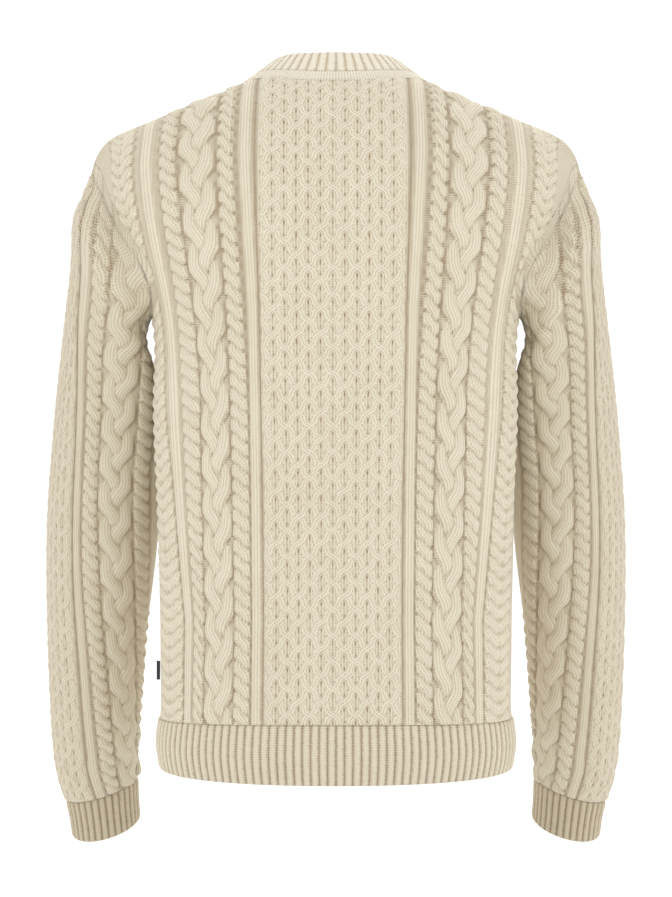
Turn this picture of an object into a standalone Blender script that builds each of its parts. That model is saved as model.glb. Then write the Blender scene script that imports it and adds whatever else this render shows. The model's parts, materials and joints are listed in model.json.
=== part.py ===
"""Cable knit crew neck sweater, filled out as it hangs when worn.

Every piece is a knitted wall with a plain inside and cables or ribs raised on its outside.
The tables are in millimetres. +Z is up, the front faces -Y and the wearer's left is +X.
The origin lies in the middle of the neck opening, at the height of the neck ends of the shoulders.
"""

import math
from collections import namedtuple

import bmesh
import bpy
import numpy as np
from mathutils import geometry

COLLECTION_NAME = "cable_knit_sweater"
METRES = 0.001

# Cloth
WALL = 2.6  # plain knitted ground, under the cables
SEAM_GAP = 0.3  # between two pieces that are sewn together
EDGE_RELIEF = 0.5  # the ground's own height at a seam

# Relief above the ground
RIB_HEIGHT = 1.7
COMB_CREST = 3.0
COMB_DIMPLE = 0.9
ROPE_HEIGHT = 3.4
ROPE_DIP = 1.8
PLAIT_HEIGHT = 4.0
PLAIT_DIP = 1.6
WHEAT_HEIGHT = 2.6
WHEAT_DIP = 1.3
TRIM_RIB_HEIGHT = 2.0  # hem, cuffs and neck

# Repeats up the cloth
COMB_REPEAT = 24.0
COMB_CELLS = 6
ROPE_PITCH = 14.8
ROPE_SWING = (0.35, 0.65)  # where its crest lies in turn, as shares of the way across
PLAIT_REPEAT = 38.5
PLAIT_SIDES = (0.2, 0.8)
WHEAT_PITCH = 13.4
WHEAT_SHOULDERS = (0.12, 0.88)
RIB_CRESTS = (0.1, 0.9)
HEM_RIBS = 58  # on each panel
CUFF_RIBS = 32
NECK_RIBS_BACK, NECK_RIBS_FRONT = 28, 36

# Samples
ROW_SAMPLES = 97  # points along each half row of a skin
CURVE_SAMPLES = 801
LENGTH_SAMPLES = 65
LINE_SAMPLES = 400

# Mesh
WELD = 0.001
MEET = 1e-5
PROBE = 0.4
CREASE_ANGLE = 11
ARMHOLE_STEPS = 24  # on each panel
SHOULDER_STEPS = 10
HEM_SEAM_STEPS = 36
SLEEVE_SEAM_STEPS = 32
TURN_START, TURN_STEPS = 0.4, 12
CUFF_SEAM_STEPS = 32
PLAIN_ROWS = 9
FLAT_BEND = 0.0007
EDGE_MARGIN = 4.0  # kept plain along a seam
BETWEEN = (0.2, 0.4, 0.6, 0.8)  # where a ridge is tried against the margin
BODY_PLAIN_ENDS = (6.0, 5.0)  # from the hem seam and from the shoulder to the first plain rows
BODY_CABLE_START = 7.0
SLEEVE_PLAIN_ENDS = (10.0, 7.0)  # from the armhole and from the cuff
SLEEVE_CABLE_ENDS = (9.0, 4.0)
LINING_MARGIN = 12.0
LINING_SHARES = np.array([0, 0.3, 0.52, 0.68, 0.8, 0.9])
SLEEVE_LINING_STEPS = 12
HEM_LINING_EVERY = 4
EDGE_TAPER = 0.7  # of the ribs at the edge of a trim
SEAM_TAPER = 0.25
CUFF_RIB_START = 6.0  # from the cuff seam to where its ribs stand at full height
BINDING_HEIGHT = 1.8
LABEL_BEVEL = 0.35
LABEL_CLEARANCE = 1.0

TorsoRow = namedtuple(
    "TorsoRow", "edge_x edge_y edge_z mid_y mid_z wrap dip mid_reach edge_reach"
)

# Half rows of the body, from the middle out to the side line, from the back hem up to the shoulder
# ridge. wrap is how far the row has turned towards the other panel where it ends, dip how steeply
# it runs down there, both in degrees. The reaches are the handles of the row's curve.
BACK_ROWS = (
    TorsoRow(174.0, -2, -682.5, 103, -682.5, 90, 0, 108, 62),
    TorsoRow(178.0, -2, -657.0, 107, -655.0, 90, 0, 110, 64),
    TorsoRow(175.5, -2, -632.0, 105, -625.0, 90, 0, 108, 63),
    TorsoRow(175.0, -2, -590.0, 103, -583.0, 90, 0, 108, 62),
    TorsoRow(175.5, -3, -540.0, 99, -533.0, 90, 0, 108, 60),
    TorsoRow(177.0, -4, -470.0, 95, -463.0, 90, 0, 109, 58),
    TorsoRow(179.0, -5, -390.0, 94, -383.0, 90, 0, 110, 58),
    TorsoRow(181.0, -8, -310.0, 100, -301.0, 90, 0, 112, 63),
    TorsoRow(183.0, -16, -238.0, 110, -225.0, 90, 0, 116, 74),
    TorsoRow(197.0, -17, -200.0, 114, -185.0, 89, 4, 126, 80),
    TorsoRow(217.0, -15, -165.0, 115, -148.0, 86, 10, 138, 82),
    TorsoRow(232.0, -10, -130.0, 111, -108.0, 80, 18, 146, 76),
    TorsoRow(240.0, -5, -103.0, 99, -64.0, 62, 45, 140, 60),
    TorsoRow(242.5, -1, -90.0, 66, -9.0, 30, 65, 66, 62),
)
# The shoulder ridge, from the middle of the neck opening out past the shoulder tip.
RidgePoint = namedtuple("RidgePoint", "x y z")
RIDGE = (
    RidgePoint(0, -8, 27.0),
    RidgePoint(50, -7, 18.0),
    RidgePoint(94.6, -5, -1.5),
    RidgePoint(137, -3, -23.5),
    RidgePoint(187, -2, -39.0),
    RidgePoint(212, -1, -48.5),
    RidgePoint(227, 0, -57.0),
    RidgePoint(236, 0, -67.0),
    RidgePoint(241, 0, -77.0),
    RidgePoint(243, 0, -85.0),
)
# The same from the ridge down to the front hem.
FRONT_ROWS = (
    TorsoRow(242.5, -1, -90.0, -80, -12.0, 30, 65, 66, 62),
    TorsoRow(240.0, -5, -103.0, -106, -66.0, 62, 45, 140, 60),
    TorsoRow(232.0, -10, -130.0, -119, -110.0, 80, 18, 146, 76),
    TorsoRow(217.0, -15, -165.0, -126, -150.0, 86, 10, 134, 76),
    TorsoRow(197.0, -17, -200.0, -129, -190.0, 89, 4, 124, 72),
    TorsoRow(183.0, -16, -238.0, -129, -232.0, 90, 0, 116, 68),
    TorsoRow(181.0, -8, -310.0, -125, -306.0, 90, 0, 112, 66),
    TorsoRow(179.0, -5, -390.0, -121, -387.0, 90, 0, 110, 66),
    TorsoRow(177.0, -4, -470.0, -119, -467.0, 90, 0, 109, 66),
    TorsoRow(175.5, -3, -540.0, -120, -537.0, 90, 0, 108, 68),
    TorsoRow(175.0, -2, -590.0, -121, -587.0, 90, 0, 108, 69),
    TorsoRow(175.5, -2, -632.0, -122, -629.0, 90, 0, 108, 70),
    TorsoRow(178.0, -2, -657.0, -123, -656.0, 90, 0, 110, 70),
    TorsoRow(174.0, -2, -682.5, -119, -682.5, 90, 0, 108, 68),
)
HEM_SEAM_ROW = 2  # rows of BACK_ROWS, and of FRONT_ROWS counted from its end
UNDERARM_ROW = 8

# Rings of the left sleeve below the armhole, from its outer line to its inner line. depth is half
# its depth, and pitch, in degrees, is how far its back lies lower than its front.
SleeveRing = namedtuple("SleeveRing", "outer_x outer_z inner_x inner_z mid_y depth pitch")
SLEEVE_RINGS = (
    SleeveRing(258.5, -122, 194.0, -250, -20, 61, 0),
    SleeveRing(265.5, -165, 190.5, -270, -32, 61, 0),
    SleeveRing(272.5, -215, 184.0, -294, -46, 61, 0),
    SleeveRing(280.5, -265, 179.0, -320, -60, 61, 0),
    SleeveRing(287.5, -314, 177.0, -350, -70, 60, 0),
    SleeveRing(293.5, -366, 179.0, -388, -79, 59, 0),
    SleeveRing(298.5, -418, 184.0, -432, -86, 58, 0),
    SleeveRing(301.5, -481, 192.5, -489, -94, 56, 2),
    SleeveRing(302.5, -546, 201.5, -548, -104, 52, 3),
    SleeveRing(302.5, -633, 210.5, -628, -121, 47, 5),
    SleeveRing(301.5, -678, 213.5, -668, -131, 45, 6),
    SleeveRing(297.5, -714, 215.5, -698, -138, 43, 7),
    SleeveRing(290.5, -741, 216.0, -720, -143, 39, 8),
)
CUFF_RINGS = (
    SleeveRing(286.5, -759, 216.0, -741, -146, 37, 9),
    SleeveRing(284.0, -781, 214.5, -766, -150, 37, 13),
)

# The armhole, from the underarm to the shoulder tip: how far above the underarm, along the middle
# of the panel, and how far each panel stops short of the side line.
ArmholePoint = namedtuple("ArmholePoint", "rise back_cut front_cut")
ARMHOLE = (
    ArmholePoint(0, 0, 0),
    ArmholePoint(2, 20, 24),
    ArmholePoint(9, 42, 50),
    ArmholePoint(24, 60, 71),
    ArmholePoint(48, 68, 79),
    ArmholePoint(75, 60, 70),
    ArmholePoint(112, 38, 45),
    ArmholePoint(150, 21, 24),
    ArmholePoint(200, 11, 12),
    ArmholePoint(250, 7, 7),
    ArmholePoint(308, 5, 5),
)

ARMHOLE_TURN = 3.5  # the sleeve's cloth runs on from the panels by this before it turns down

# The neck seam as a half ellipse on the laid out cloth: across, and down each panel.
NECK_HALF_WIDTH = 99
NECK_DROP_BACK = 85
NECK_DROP_FRONT = 150
# From the neck seam the binding and the rib lean in over the shoulders and stand up.
BINDING_WIDTH = 10
COLLAR_WIDTH = 19
COLLAR_SPREAD = 0.69  # its top edge's width, as a share of the seam's
COLLAR_REACH = 0.863  # and its length from back to front
NECK_MIDDLE_Y = -5
COLLAR_RISE_SIDE, COLLAR_RISE_BACK, COLLAR_RISE_FRONT = 19.5, 29.5, 26.0

LABEL_SIZE = (3.5, 1.2, 19.0)
LABEL_Z = -586.5

# The cables of one half, from the middle outwards, as distances across the cloth. height is above
# the hem edge; on a sleeve it is the way down from the armhole seam, and across starts at the
# outer line. A cable whose place lies beyond a panel's edge is cut by the seam, as it is knitted.
CHART_SHIFT = 2.0  # the body's chart sits this far to the wearer's left
ChartRow = namedtuple(
    "ChartRow",
    "height comb rib_a_in rib_a_out rope_a_in rope_a_out plait_in plait_out"
    " rope_b_in rope_b_out rib_b_in rib_b_out wheat_in wheat_out",
)
BODY_CHART = (
    ChartRow(0, 65, 69, 78, 81, 96, 99, 128, 131, 142, 145, 154, 158, 181),
    ChartRow(157, 64, 68, 77, 79, 94, 96, 125, 127, 138, 141, 150, 154, 176),
    ChartRow(270, 65, 69, 78, 80, 96, 99, 128, 131, 146, 152, 163, 171, 193),
    ChartRow(383, 67, 71, 79, 83, 98, 102, 130, 133, 151, 161, 174, 186, 208),
    ChartRow(459, 68, 72, 80, 89, 101, 108, 138, 143, 160, 171, 184, 196, 218),
    ChartRow(601, 69, 79, 88, 97, 109, 116, 149, 157, 171, 183, 195, 209, 240),
    ChartRow(770, 71, 80, 89, 98, 110, 117, 150, 158, 171, 183, 195, 209, 238),
)
SLEEVE_CHART = (
    ChartRow(0, 21, 26, 38, 49, 67, 74, 138, 146, 164, 172, 182, 300, 320),
    ChartRow(35, 40, 46, 60, 70, 88, 95, 138, 146, 164, 172, 182, 300, 320),
    ChartRow(85, 50, 54, 66, 75, 93, 100, 138, 145, 162, 170, 180, 300, 320),
    ChartRow(141, 53, 57, 65, 71, 87, 93, 132, 138, 156, 163, 172, 300, 320),
    ChartRow(191, 57, 61, 67, 72, 86, 90, 122, 128, 147, 153, 161, 300, 320),
    ChartRow(243, 59, 62, 68, 73, 86, 89, 121, 125, 142, 148, 157, 300, 320),
    ChartRow(343, 61, 65, 71, 75, 90, 93, 126, 131, 150, 155, 163, 300, 320),
    ChartRow(448, 62, 66, 73, 77, 91, 95, 128, 134, 151, 157, 166, 300, 320),
    ChartRow(549, 62, 66, 74, 79, 93, 97, 129, 136, 152, 158, 167, 300, 320),
    ChartRow(614, 58, 61, 70, 74, 88, 92, 123, 130, 147, 153, 162, 300, 320),
)

# ---------------------------------------------------------------- skins


class Skin:
    """A smooth surface through sections, read by level and by the share of a section's length."""

    def __init__(self, levels, sections, closed=False):
        self.levels = np.asarray(levels, float)
        self.sections = np.asarray(sections, float)
        self.closed = closed
        self.bend = self._spline_bend()

    def _spline_bend(self):
        """Second derivatives of the natural cubic splines that run through the sections."""
        steps = np.diff(self.levels)
        count = len(self.levels)
        matrix = np.eye(count)
        right = np.zeros_like(self.sections)
        for i in range(1, count - 1):
            matrix[i, i - 1:i + 2] = steps[i - 1], 2 * (steps[i - 1] + steps[i]), steps[i]
            rise = (self.sections[i + 1] - self.sections[i]) / steps[i]
            run = (self.sections[i] - self.sections[i - 1]) / steps[i - 1]
            right[i] = 6 * (rise - run)
        return np.linalg.solve(matrix, right.reshape(count, -1)).reshape(self.sections.shape)

    def point(self, level, share):
        """The point at a level and a share, -1 to 1, of the half section: minus mirrors x."""
        level, share = np.broadcast_arrays(np.asarray(level, float), np.asarray(share, float))
        i = np.clip(np.searchsorted(self.levels, level) - 1, 0, len(self.levels) - 2)
        step = self.levels[i + 1] - self.levels[i]
        b = (level - self.levels[i]) / step
        a = 1 - b
        place = np.abs(share) * (self.sections.shape[1] - 1)
        j = np.minimum(place.astype(int), self.sections.shape[1] - 2)
        f = (place - j)[..., None]

        def across(values, row):
            return values[row, j] * (1 - f) + values[row, j + 1] * f

        curve_a = ((a ** 3 - a) * step ** 2 / 6)[..., None]
        curve_b = ((b ** 3 - b) * step ** 2 / 6)[..., None]
        points = (a[..., None] * across(self.sections, i) + b[..., None] * across(self.sections, i + 1)
                  + curve_a * across(self.bend, i) + curve_b * across(self.bend, i + 1))
        if not self.closed:
            points[..., 0] *= np.where(share < 0, -1, 1)
        return points

    def length(self, level):
        """The length of the half section at a level."""
        shares = np.linspace(0, 1, LENGTH_SAMPLES)
        level = np.asarray(level, float)
        points = self.point(level[..., None], shares)
        return np.linalg.norm(np.diff(points, axis=-2), axis=-1).sum(-1)


def along(points, count):
    """The same number of evenly spaced points along any line."""
    steps = np.linalg.norm(np.diff(points, axis=0), axis=1)
    place = np.concatenate(([0], np.cumsum(steps)))
    even = np.linspace(0, place[-1], count)
    return np.stack([np.interp(even, place, axis) for axis in points.T], 1)


def half_row(row, towards_front):
    """The curve of a body row, from the middle of the panel out to the side line."""
    wrap, dip = math.radians(row.wrap), math.radians(row.dip)
    heading = np.array([math.cos(wrap) * math.cos(dip),
                        -towards_front * math.sin(wrap) * math.cos(dip),
                        -math.sin(dip)])
    start = np.array([0, row.mid_y, row.mid_z])
    end = np.array([row.edge_x, row.edge_y, row.edge_z])
    first = start + np.array([row.mid_reach, 0, 0])
    second = end - heading * row.edge_reach
    t = np.linspace(0, 1, CURVE_SAMPLES)[:, None]
    curve = ((1 - t) ** 3 * start + 3 * (1 - t) ** 2 * t * first
             + 3 * (1 - t) * t ** 2 * second + t ** 3 * end)
    return along(curve, ROW_SAMPLES)


def smooth_line(knots, count):
    """Points along a smooth line through the knots, closer where the knots are close."""
    knots = np.asarray(knots, float)
    place = np.concatenate(([0], np.cumsum(np.linalg.norm(np.diff(knots, axis=0), axis=1) ** 0.5)))
    line = Skin(place, knots[:, None, :].repeat(2, axis=1), closed=True)
    return along(line.point(np.linspace(0, place[-1], 40 * len(knots)), 0.0), count)


def body_skin():
    """The whole body as one sheet, from the back hem over the shoulders to the front hem."""
    sections = [half_row(row, 1) for row in BACK_ROWS]
    sections.append(smooth_line(RIDGE, ROW_SAMPLES))
    sections += [half_row(row, -1) for row in FRONT_ROWS]
    middle = np.array([section[0] for section in sections])
    levels = np.concatenate(([0], np.cumsum(np.linalg.norm(np.diff(middle, axis=0), axis=1))))
    return Skin(levels, sections)


BODY = body_skin()
RIDGE_LEVEL = BODY.levels[len(BACK_ROWS)]
TOP_LEVEL = BODY.levels[-1]


class Panel:
    """The back or the front of the body, read by its own height above its hem."""

    def __init__(self, front):
        self.front = front
        self.height = TOP_LEVEL - RIDGE_LEVEL if front else RIDGE_LEVEL
        levels = (TOP_LEVEL - BODY.levels)[::-1] if front else BODY.levels
        self.row_heights = levels
        self.hem_seam = levels[HEM_SEAM_ROW]
        self.underarm = levels[UNDERARM_ROW]
        self.neck_drop = NECK_DROP_FRONT if front else NECK_DROP_BACK

    def level(self, height):
        """The body's level at a height of this panel."""
        return TOP_LEVEL - height if self.front else height

    def length(self, height):
        """From the middle of the panel to the side line."""
        return BODY.length(self.level(height))

    def point(self, across, height):
        """The point at a distance across from the middle, and a height."""
        return BODY.point(self.level(height), across / self.length(height))

    def below_shoulder(self, across, distance):
        """The heights at which places across lie a distance short of the shoulder ridge."""
        top = self.point(across, self.height)
        rise = np.linalg.norm(top - self.point(across, self.height - 1), axis=-1)
        return self.height - distance / rise


def armhole_line(panel, count):
    """(across, height) along the armhole's edge on a panel, from the underarm to the shoulder."""
    knots = []
    for spot in ARMHOLE:
        height = panel.underarm + spot.rise / ARMHOLE[-1].rise * (panel.height - panel.underarm)
        cut = spot.front_cut if panel.front else spot.back_cut
        knots.append((panel.length(height) - cut, height))
    return smooth_line(knots, count)


def shifted(line, distance):
    """A line moved to its right, seen as (across, height)."""
    run = np.gradient(line, axis=0)
    run /= np.linalg.norm(run, axis=1)[:, None]
    return line + distance * np.stack([run[:, 1], -run[:, 0]], 1)


BACK, FRONT = Panel(front=False), Panel(front=True)


def armhole_edge(panel, count, into_hole):
    """(across, height) at even steps along the armhole in space, from the shoulder down."""
    line = shifted(armhole_line(panel, LINE_SAMPLES), into_hole)[::-1]
    steps = np.linalg.norm(np.diff(panel.point(line[:, 0], line[:, 1]), axis=0), axis=1)
    place = np.concatenate(([0], np.cumsum(steps)))
    even = np.linspace(0, place[-1], count)
    return np.stack([np.interp(even, place, line[:, 0]), np.interp(even, place, line[:, 1])], 1)


def armhole_section(panel, into_hole):
    """The armhole in space, as a section of the sleeve."""
    edge = armhole_edge(panel, ROW_SAMPLES, into_hole)
    return panel.point(edge[:, 0], edge[:, 1])


def ring_section(ring, towards_back):
    """Half of a sleeve ring, from its outer line to its inner line."""
    middle = np.array([(ring.outer_x + ring.inner_x) / 2, ring.mid_y,
                       (ring.outer_z + ring.inner_z) / 2])
    outward = np.array([(ring.outer_x - ring.inner_x) / 2, 0, (ring.outer_z - ring.inner_z) / 2])
    pitch = math.radians(ring.pitch)
    backward = towards_back * ring.depth * np.array([0, math.cos(pitch), -math.sin(pitch)])
    angle = np.linspace(0, math.pi, CURVE_SAMPLES)[:, None]
    return along(middle + outward * np.cos(angle) + backward * np.sin(angle), ROW_SAMPLES)


class Sleeve:
    """The left sleeve and its cuff as a tube, read by the way down from the armhole seam.

    across runs from the outer line, plus round the back and minus round the front.
    """

    def __init__(self):
        halves = []
        for panel, side in ((BACK, 1), (FRONT, -1)):
            half = [armhole_section(panel, reach) for reach in (SEAM_GAP / 2, ARMHOLE_TURN)]
            half += [ring_section(ring, side) for ring in SLEEVE_RINGS + CUFF_RINGS]
            halves.append(np.array(half))
        for end in (0, -1):  # both halves meet on the outer and on the inner line
            shared = (halves[0][:, end] + halves[1][:, end]) / 2
            halves[0][:, end] = halves[1][:, end] = shared
        steps = [np.linalg.norm(np.diff(half, axis=0), axis=2).mean(axis=1) for half in halves]
        levels = np.concatenate(([0], np.cumsum((steps[0] + steps[1]) / 2)))
        self.back = Skin(levels, halves[0], closed=True)
        self.front = Skin(levels, halves[1], closed=True)
        self.cuff_seam = levels[1 + len(SLEEVE_RINGS)]
        self.end = levels[-1]

    def length(self, level, front):
        """From the outer line to the inner line, round one side."""
        return (self.front if front else self.back).length(level)

    def point(self, across, level):
        """The point at a distance across from the outer line and a level."""
        across, level = np.broadcast_arrays(np.asarray(across, float), np.asarray(level, float))
        back, front = self.length(level, False), self.length(level, True)
        across = np.where(across > back, across - back - front, across)
        across = np.where(across < -front, across + back + front, across)
        on_back = self.back.point(level, across / back)
        on_front = self.front.point(level, across / front)
        return np.where((across >= 0)[..., None], on_back, on_front)


SLEEVE = Sleeve()


def neck_edge(panel, into_hole):
    """(across, height) along the neck seam on a panel, from its -X end to its +X end."""
    ribs = NECK_RIBS_FRONT if panel.front else NECK_RIBS_BACK
    angle = np.linspace(-math.pi / 2, math.pi / 2, ribs + 1)
    across = (NECK_HALF_WIDTH - into_hole) * np.sin(angle)
    return np.stack([across, panel.height - (panel.neck_drop - into_hole) * np.cos(angle)], 1)


class NeckBand:
    """The binding and the neck rib as one closed band, read by height above the neck seam.

    across counts ribs from the wearer's right shoulder, round the back.
    """

    ribs = NECK_RIBS_BACK + NECK_RIBS_FRONT

    def __init__(self):
        back, front = neck_edge(BACK, SEAM_GAP / 2), neck_edge(FRONT, SEAM_GAP / 2)[::-1]
        seam = np.concatenate([BACK.point(back[:, 0], back[:, 1])[:-1],
                               FRONT.point(front[:, 0], front[:, 1])[:-1]])
        seam = np.concatenate([seam, seam[:1]])
        quarter = math.pi / 2
        turn = np.concatenate([np.linspace(-quarter, quarter, NECK_RIBS_BACK + 1)[:-1],
                               np.linspace(quarter, 3 * quarter, NECK_RIBS_FRONT + 1)])
        lengthwise = np.cos(turn) ** 2
        end_rise = np.where(np.cos(turn) > 0, COLLAR_RISE_BACK, COLLAR_RISE_FRONT)
        top = seam * [COLLAR_SPREAD, COLLAR_REACH, 1]
        top[:, 1] += NECK_MIDDLE_Y * (1 - COLLAR_REACH)
        top[:, 2] += COLLAR_RISE_SIDE + (end_rise - COLLAR_RISE_SIDE) * lengthwise
        share = BINDING_WIDTH / (BINDING_WIDTH + COLLAR_WIDTH)
        levels = (0, BINDING_WIDTH, BINDING_WIDTH + COLLAR_WIDTH)
        self.skin = Skin(levels, [seam, seam + share * (top - seam), top], closed=True)

    def point(self, across, height):
        """The point at a count of ribs and a height."""
        return self.skin.point(height, np.mod(across, self.ribs) / self.ribs)


NECK_BAND = NeckBand()


# ---------------------------------------------------------------- cloth


def wall_points(point, outward, across, height, relief, facing=None):
    """The outer and inner points of a wall on a surface.

    facing, when given, is the heights at which the wall's direction is read.
    """
    facing = height if facing is None else facing
    run = point(across + PROBE, facing) - point(across - PROBE, facing)
    rise = point(across, facing + PROBE) - point(across, facing - PROBE)
    normal = outward * np.cross(run, rise)
    normal /= np.linalg.norm(normal, axis=-1)[..., None]
    middle = point(across, height)
    return middle + normal * np.asarray(relief, float)[..., None], middle - normal * WALL


def triangulated(spots, edge_count, ridges=()):
    """Triangles over spots (across, height), inside the loop of the first edge_count of them."""
    corners = [tuple(spot) for spot in spots]
    places, _, faces, origins, _, inside = geometry.delaunay_2d_cdt(
        corners, list(ridges), [list(range(edge_count))], 0, MEET, True)
    crossings = [tuple(place) for place, origin in zip(places, origins) if not origin]
    if crossings:
        raise ValueError(f"ridges cross at {crossings}")
    return [[origins[i][0] for i in face] for face, loop in zip(faces, inside) if loop]


def bridge(outer, inner, closed):
    """Triangles of the rim between a line of outer points and one of inner points."""
    gaps, inner_gaps = (len(outer), len(inner)) if closed else (len(outer) - 1, len(inner) - 1)
    beside = [int(i * inner_gaps / gaps + 0.5) % len(inner) for i in range(gaps + 1)]
    faces = []
    for i in range(gaps):
        near, far = inner[beside[i]], inner[beside[i + 1]]
        start, end = outer[i], outer[(i + 1) % len(outer)]
        faces.append((start, end, near))
        if far != near:
            faces.append((end, far, near))
    return faces


def chart_place(chart, name, height):
    """The distance across at which a cable's edge lies, at a height."""
    return np.interp(height, [row.height for row in chart], [getattr(row, name) for row in chart])


class Relief:
    """The raised spots of a piece, with the ridge lines that join them."""

    def __init__(self, chart, edge, plain_heights, shift, ceiling):
        self.chart, self.edge, self.shift = chart, np.asarray(edge), shift
        self.ceiling = ceiling
        self.plain_heights = plain_heights
        self.spots, self.heights, self.ridges = [], [], []

    def clear_of_edge(self, across, height, margin):
        """Whether a spot lies inside the edge by the margin."""
        start, end = self.edge, np.roll(self.edge, -1, axis=0)
        run, to_spot = end - start, np.array([across, height]) - start
        share = np.clip((run * to_spot).sum(1) / (run ** 2).sum(1), 0, 1)
        if np.linalg.norm(to_spot - run * share[:, None], axis=1).min() < margin:
            return False
        crossing = (start[:, 1] > height) != (end[:, 1] > height)
        rise = np.where(run[:, 1] == 0, 1, run[:, 1])
        at = start[:, 0] + (height - start[:, 1]) * run[:, 0] / rise
        return bool((crossing & (across < at)).sum() % 2)

    def add(self, across, height, relief):
        """A spot's number, or None where the seam cuts it off."""
        across += self.shift
        if height > self.ceiling(abs(across)) or not self.clear_of_edge(across, height, EDGE_MARGIN):
            return None
        self.spots.append((across, height))
        self.heights.append(relief)
        return len(self.spots) - 1

    def join(self, first, second):
        """Keeps an edge of the mesh between two spots, where it stays inside the seam."""
        if first is None or second is None:
            return
        start, end = np.array(self.spots[first]), np.array(self.spots[second])
        between = [start + (end - start) * share for share in BETWEEN]
        if all(self.clear_of_edge(*spot, EDGE_MARGIN / 2) for spot in between):
            self.ridges.append((first, second))

    def honeycomb(self, low, high):
        """Crests and dimples in turn on a lattice, the crests joined crosswise."""
        halves = COMB_CELLS
        before = {}
        for i, height in enumerate(np.arange(low, high, COMB_REPEAT / 2)):
            here = {}
            half_width = chart_place(self.chart, "comb", height)
            for j in range(-halves, halves + 1):
                crest = (i + j) % 2 == 0
                relief = COMB_CREST if crest else COMB_DIMPLE
                spot = self.add(half_width * j / halves, height, relief)
                if crest:
                    here[j] = spot
                    self.join(spot, before.get(j - 1))
                    self.join(spot, before.get(j + 1))
            before = here

    def line(self, side, start, end, share, heights, reliefs):
        """Spots up a cable, a share of the way across it. Returns their numbers."""
        numbers = []
        shares, reliefs = np.resize(share, len(heights)), np.resize(reliefs, len(heights))
        for height, part, relief in zip(heights, shares, reliefs):
            inner = chart_place(self.chart, start, height)
            outer = chart_place(self.chart, end, height)
            numbers.append(self.add(side * (inner + part * (outer - inner)), height, relief))
        return numbers

    def rope(self, side, name, low, high):
        """A two strand rope, as a crest that swings from side to side."""
        heights = np.arange(low, high, ROPE_PITCH / 2)
        crest = self.line(side, name + "_in", name + "_out", ROPE_SWING, heights,
                          (ROPE_HEIGHT, ROPE_DIP))
        for first, second in zip(crest, crest[1:]):
            self.join(first, second)

    def plait(self, side, low, high):
        """A three strand plait: crests run down from each edge to the middle in turn."""
        step = PLAIT_REPEAT / 2
        heights = np.arange(low, high, step)
        crests = (PLAIT_HEIGHT, PLAIT_DIP)
        inner = self.line(side, "plait_in", "plait_out", PLAIT_SIDES[:1], heights, crests)
        outer = self.line(side, "plait_in", "plait_out", PLAIT_SIDES[1:], heights,
                          crests[::-1])
        middle = self.line(side, "plait_in", "plait_out", (0.5,), heights - step / 2,
                           (PLAIT_HEIGHT,))
        for i, spot in enumerate(middle):
            self.join(spot, (inner if i % 2 == 0 else outer)[i])

    def wheat_ear(self, side, low, high):
        """A double V cable, as a line of beads between two low shoulders."""
        heights = np.arange(low, high, WHEAT_PITCH / 2)
        beads = self.line(side, "wheat_in", "wheat_out", (0.5,), heights,
                          (WHEAT_HEIGHT, WHEAT_DIP))
        for first, second in zip(beads, beads[1:]):
            self.join(first, second)
        for share in WHEAT_SHOULDERS:
            self.plain_line(side, "wheat_in", "wheat_out", share, RIB_HEIGHT)

    def plain_line(self, side, start, end, share, relief):
        """One straight crest or groove up the cloth."""
        spots = self.line(side, start, end, (share,), self.plain_heights, (relief,))
        for first, second in zip(spots, spots[1:]):
            self.join(first, second)

    def ribs_and_gutters(self, side):
        """Flat ribs of plain stitches, and the purled gutters between the cables."""
        for name in ("rib_a", "rib_b"):
            for share in RIB_CRESTS:
                self.plain_line(side, name + "_in", name + "_out", share, RIB_HEIGHT)
        for start, end in GUTTERS:
            self.plain_line(side, start, end, 0.5, 0.0)


GUTTERS = (
    ("comb", "rib_a_in"), ("rib_a_out", "rope_a_in"), ("rope_a_out", "plait_in"),
    ("plait_out", "rope_b_in"), ("rope_b_out", "rib_b_in"), ("rib_b_out", "wheat_in"),
)


def cables(chart, edge, plain_heights, low, high, shift, ceiling):
    """The whole chart on one piece."""
    relief = Relief(chart, edge, plain_heights, shift, ceiling)
    relief.honeycomb(low, high)
    for side in (-1, 1):
        relief.rope(side, "rope_a", low, high)
        relief.rope(side, "rope_b", low, high)
        relief.plait(side, low, high)
        relief.wheat_ear(side, low, high)
        relief.ribs_and_gutters(side)
    return relief


def plain_heights(point, low, high, count):
    """Heights from low to high, closer together where the cloth bends."""
    fine = np.linspace(low, high, LINE_SAMPLES)
    line = point(fine)
    heading = np.gradient(line, axis=0)
    heading /= np.linalg.norm(heading, axis=1)[:, None]
    bend = np.linalg.norm(np.gradient(heading, fine, axis=0), axis=1)
    place = np.cumsum(np.sqrt(bend + FLAT_BEND))
    return np.interp(np.linspace(place[0], place[-1], count), place, fine)


def piece(name, points, faces):
    """A mesh object from points in millimetres, with the piece's own finish."""
    mesh = bpy.data.meshes.new(name)
    mesh.from_pydata([tuple(point) for point in np.asarray(points) * METRES], [], faces)
    shape = bmesh.new()
    shape.from_mesh(mesh)
    bmesh.ops.remove_doubles(shape, verts=shape.verts, dist=WELD * METRES)
    bmesh.ops.recalc_face_normals(shape, faces=shape.faces)
    shape.to_mesh(mesh)
    shape.free()
    mesh.shade_smooth()
    mesh.set_sharp_from_angle(angle=math.radians(CREASE_ANGLE))
    mesh.materials.append(finish(name))
    made = bpy.data.objects.new(name, mesh)
    bpy.data.collections[COLLECTION_NAME].objects.link(made)
    return made


def mirrored(name, points, faces):
    """The same piece on the wearer's right."""
    return piece(name, np.asarray(points) * [-1, 1, 1], faces)


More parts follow.
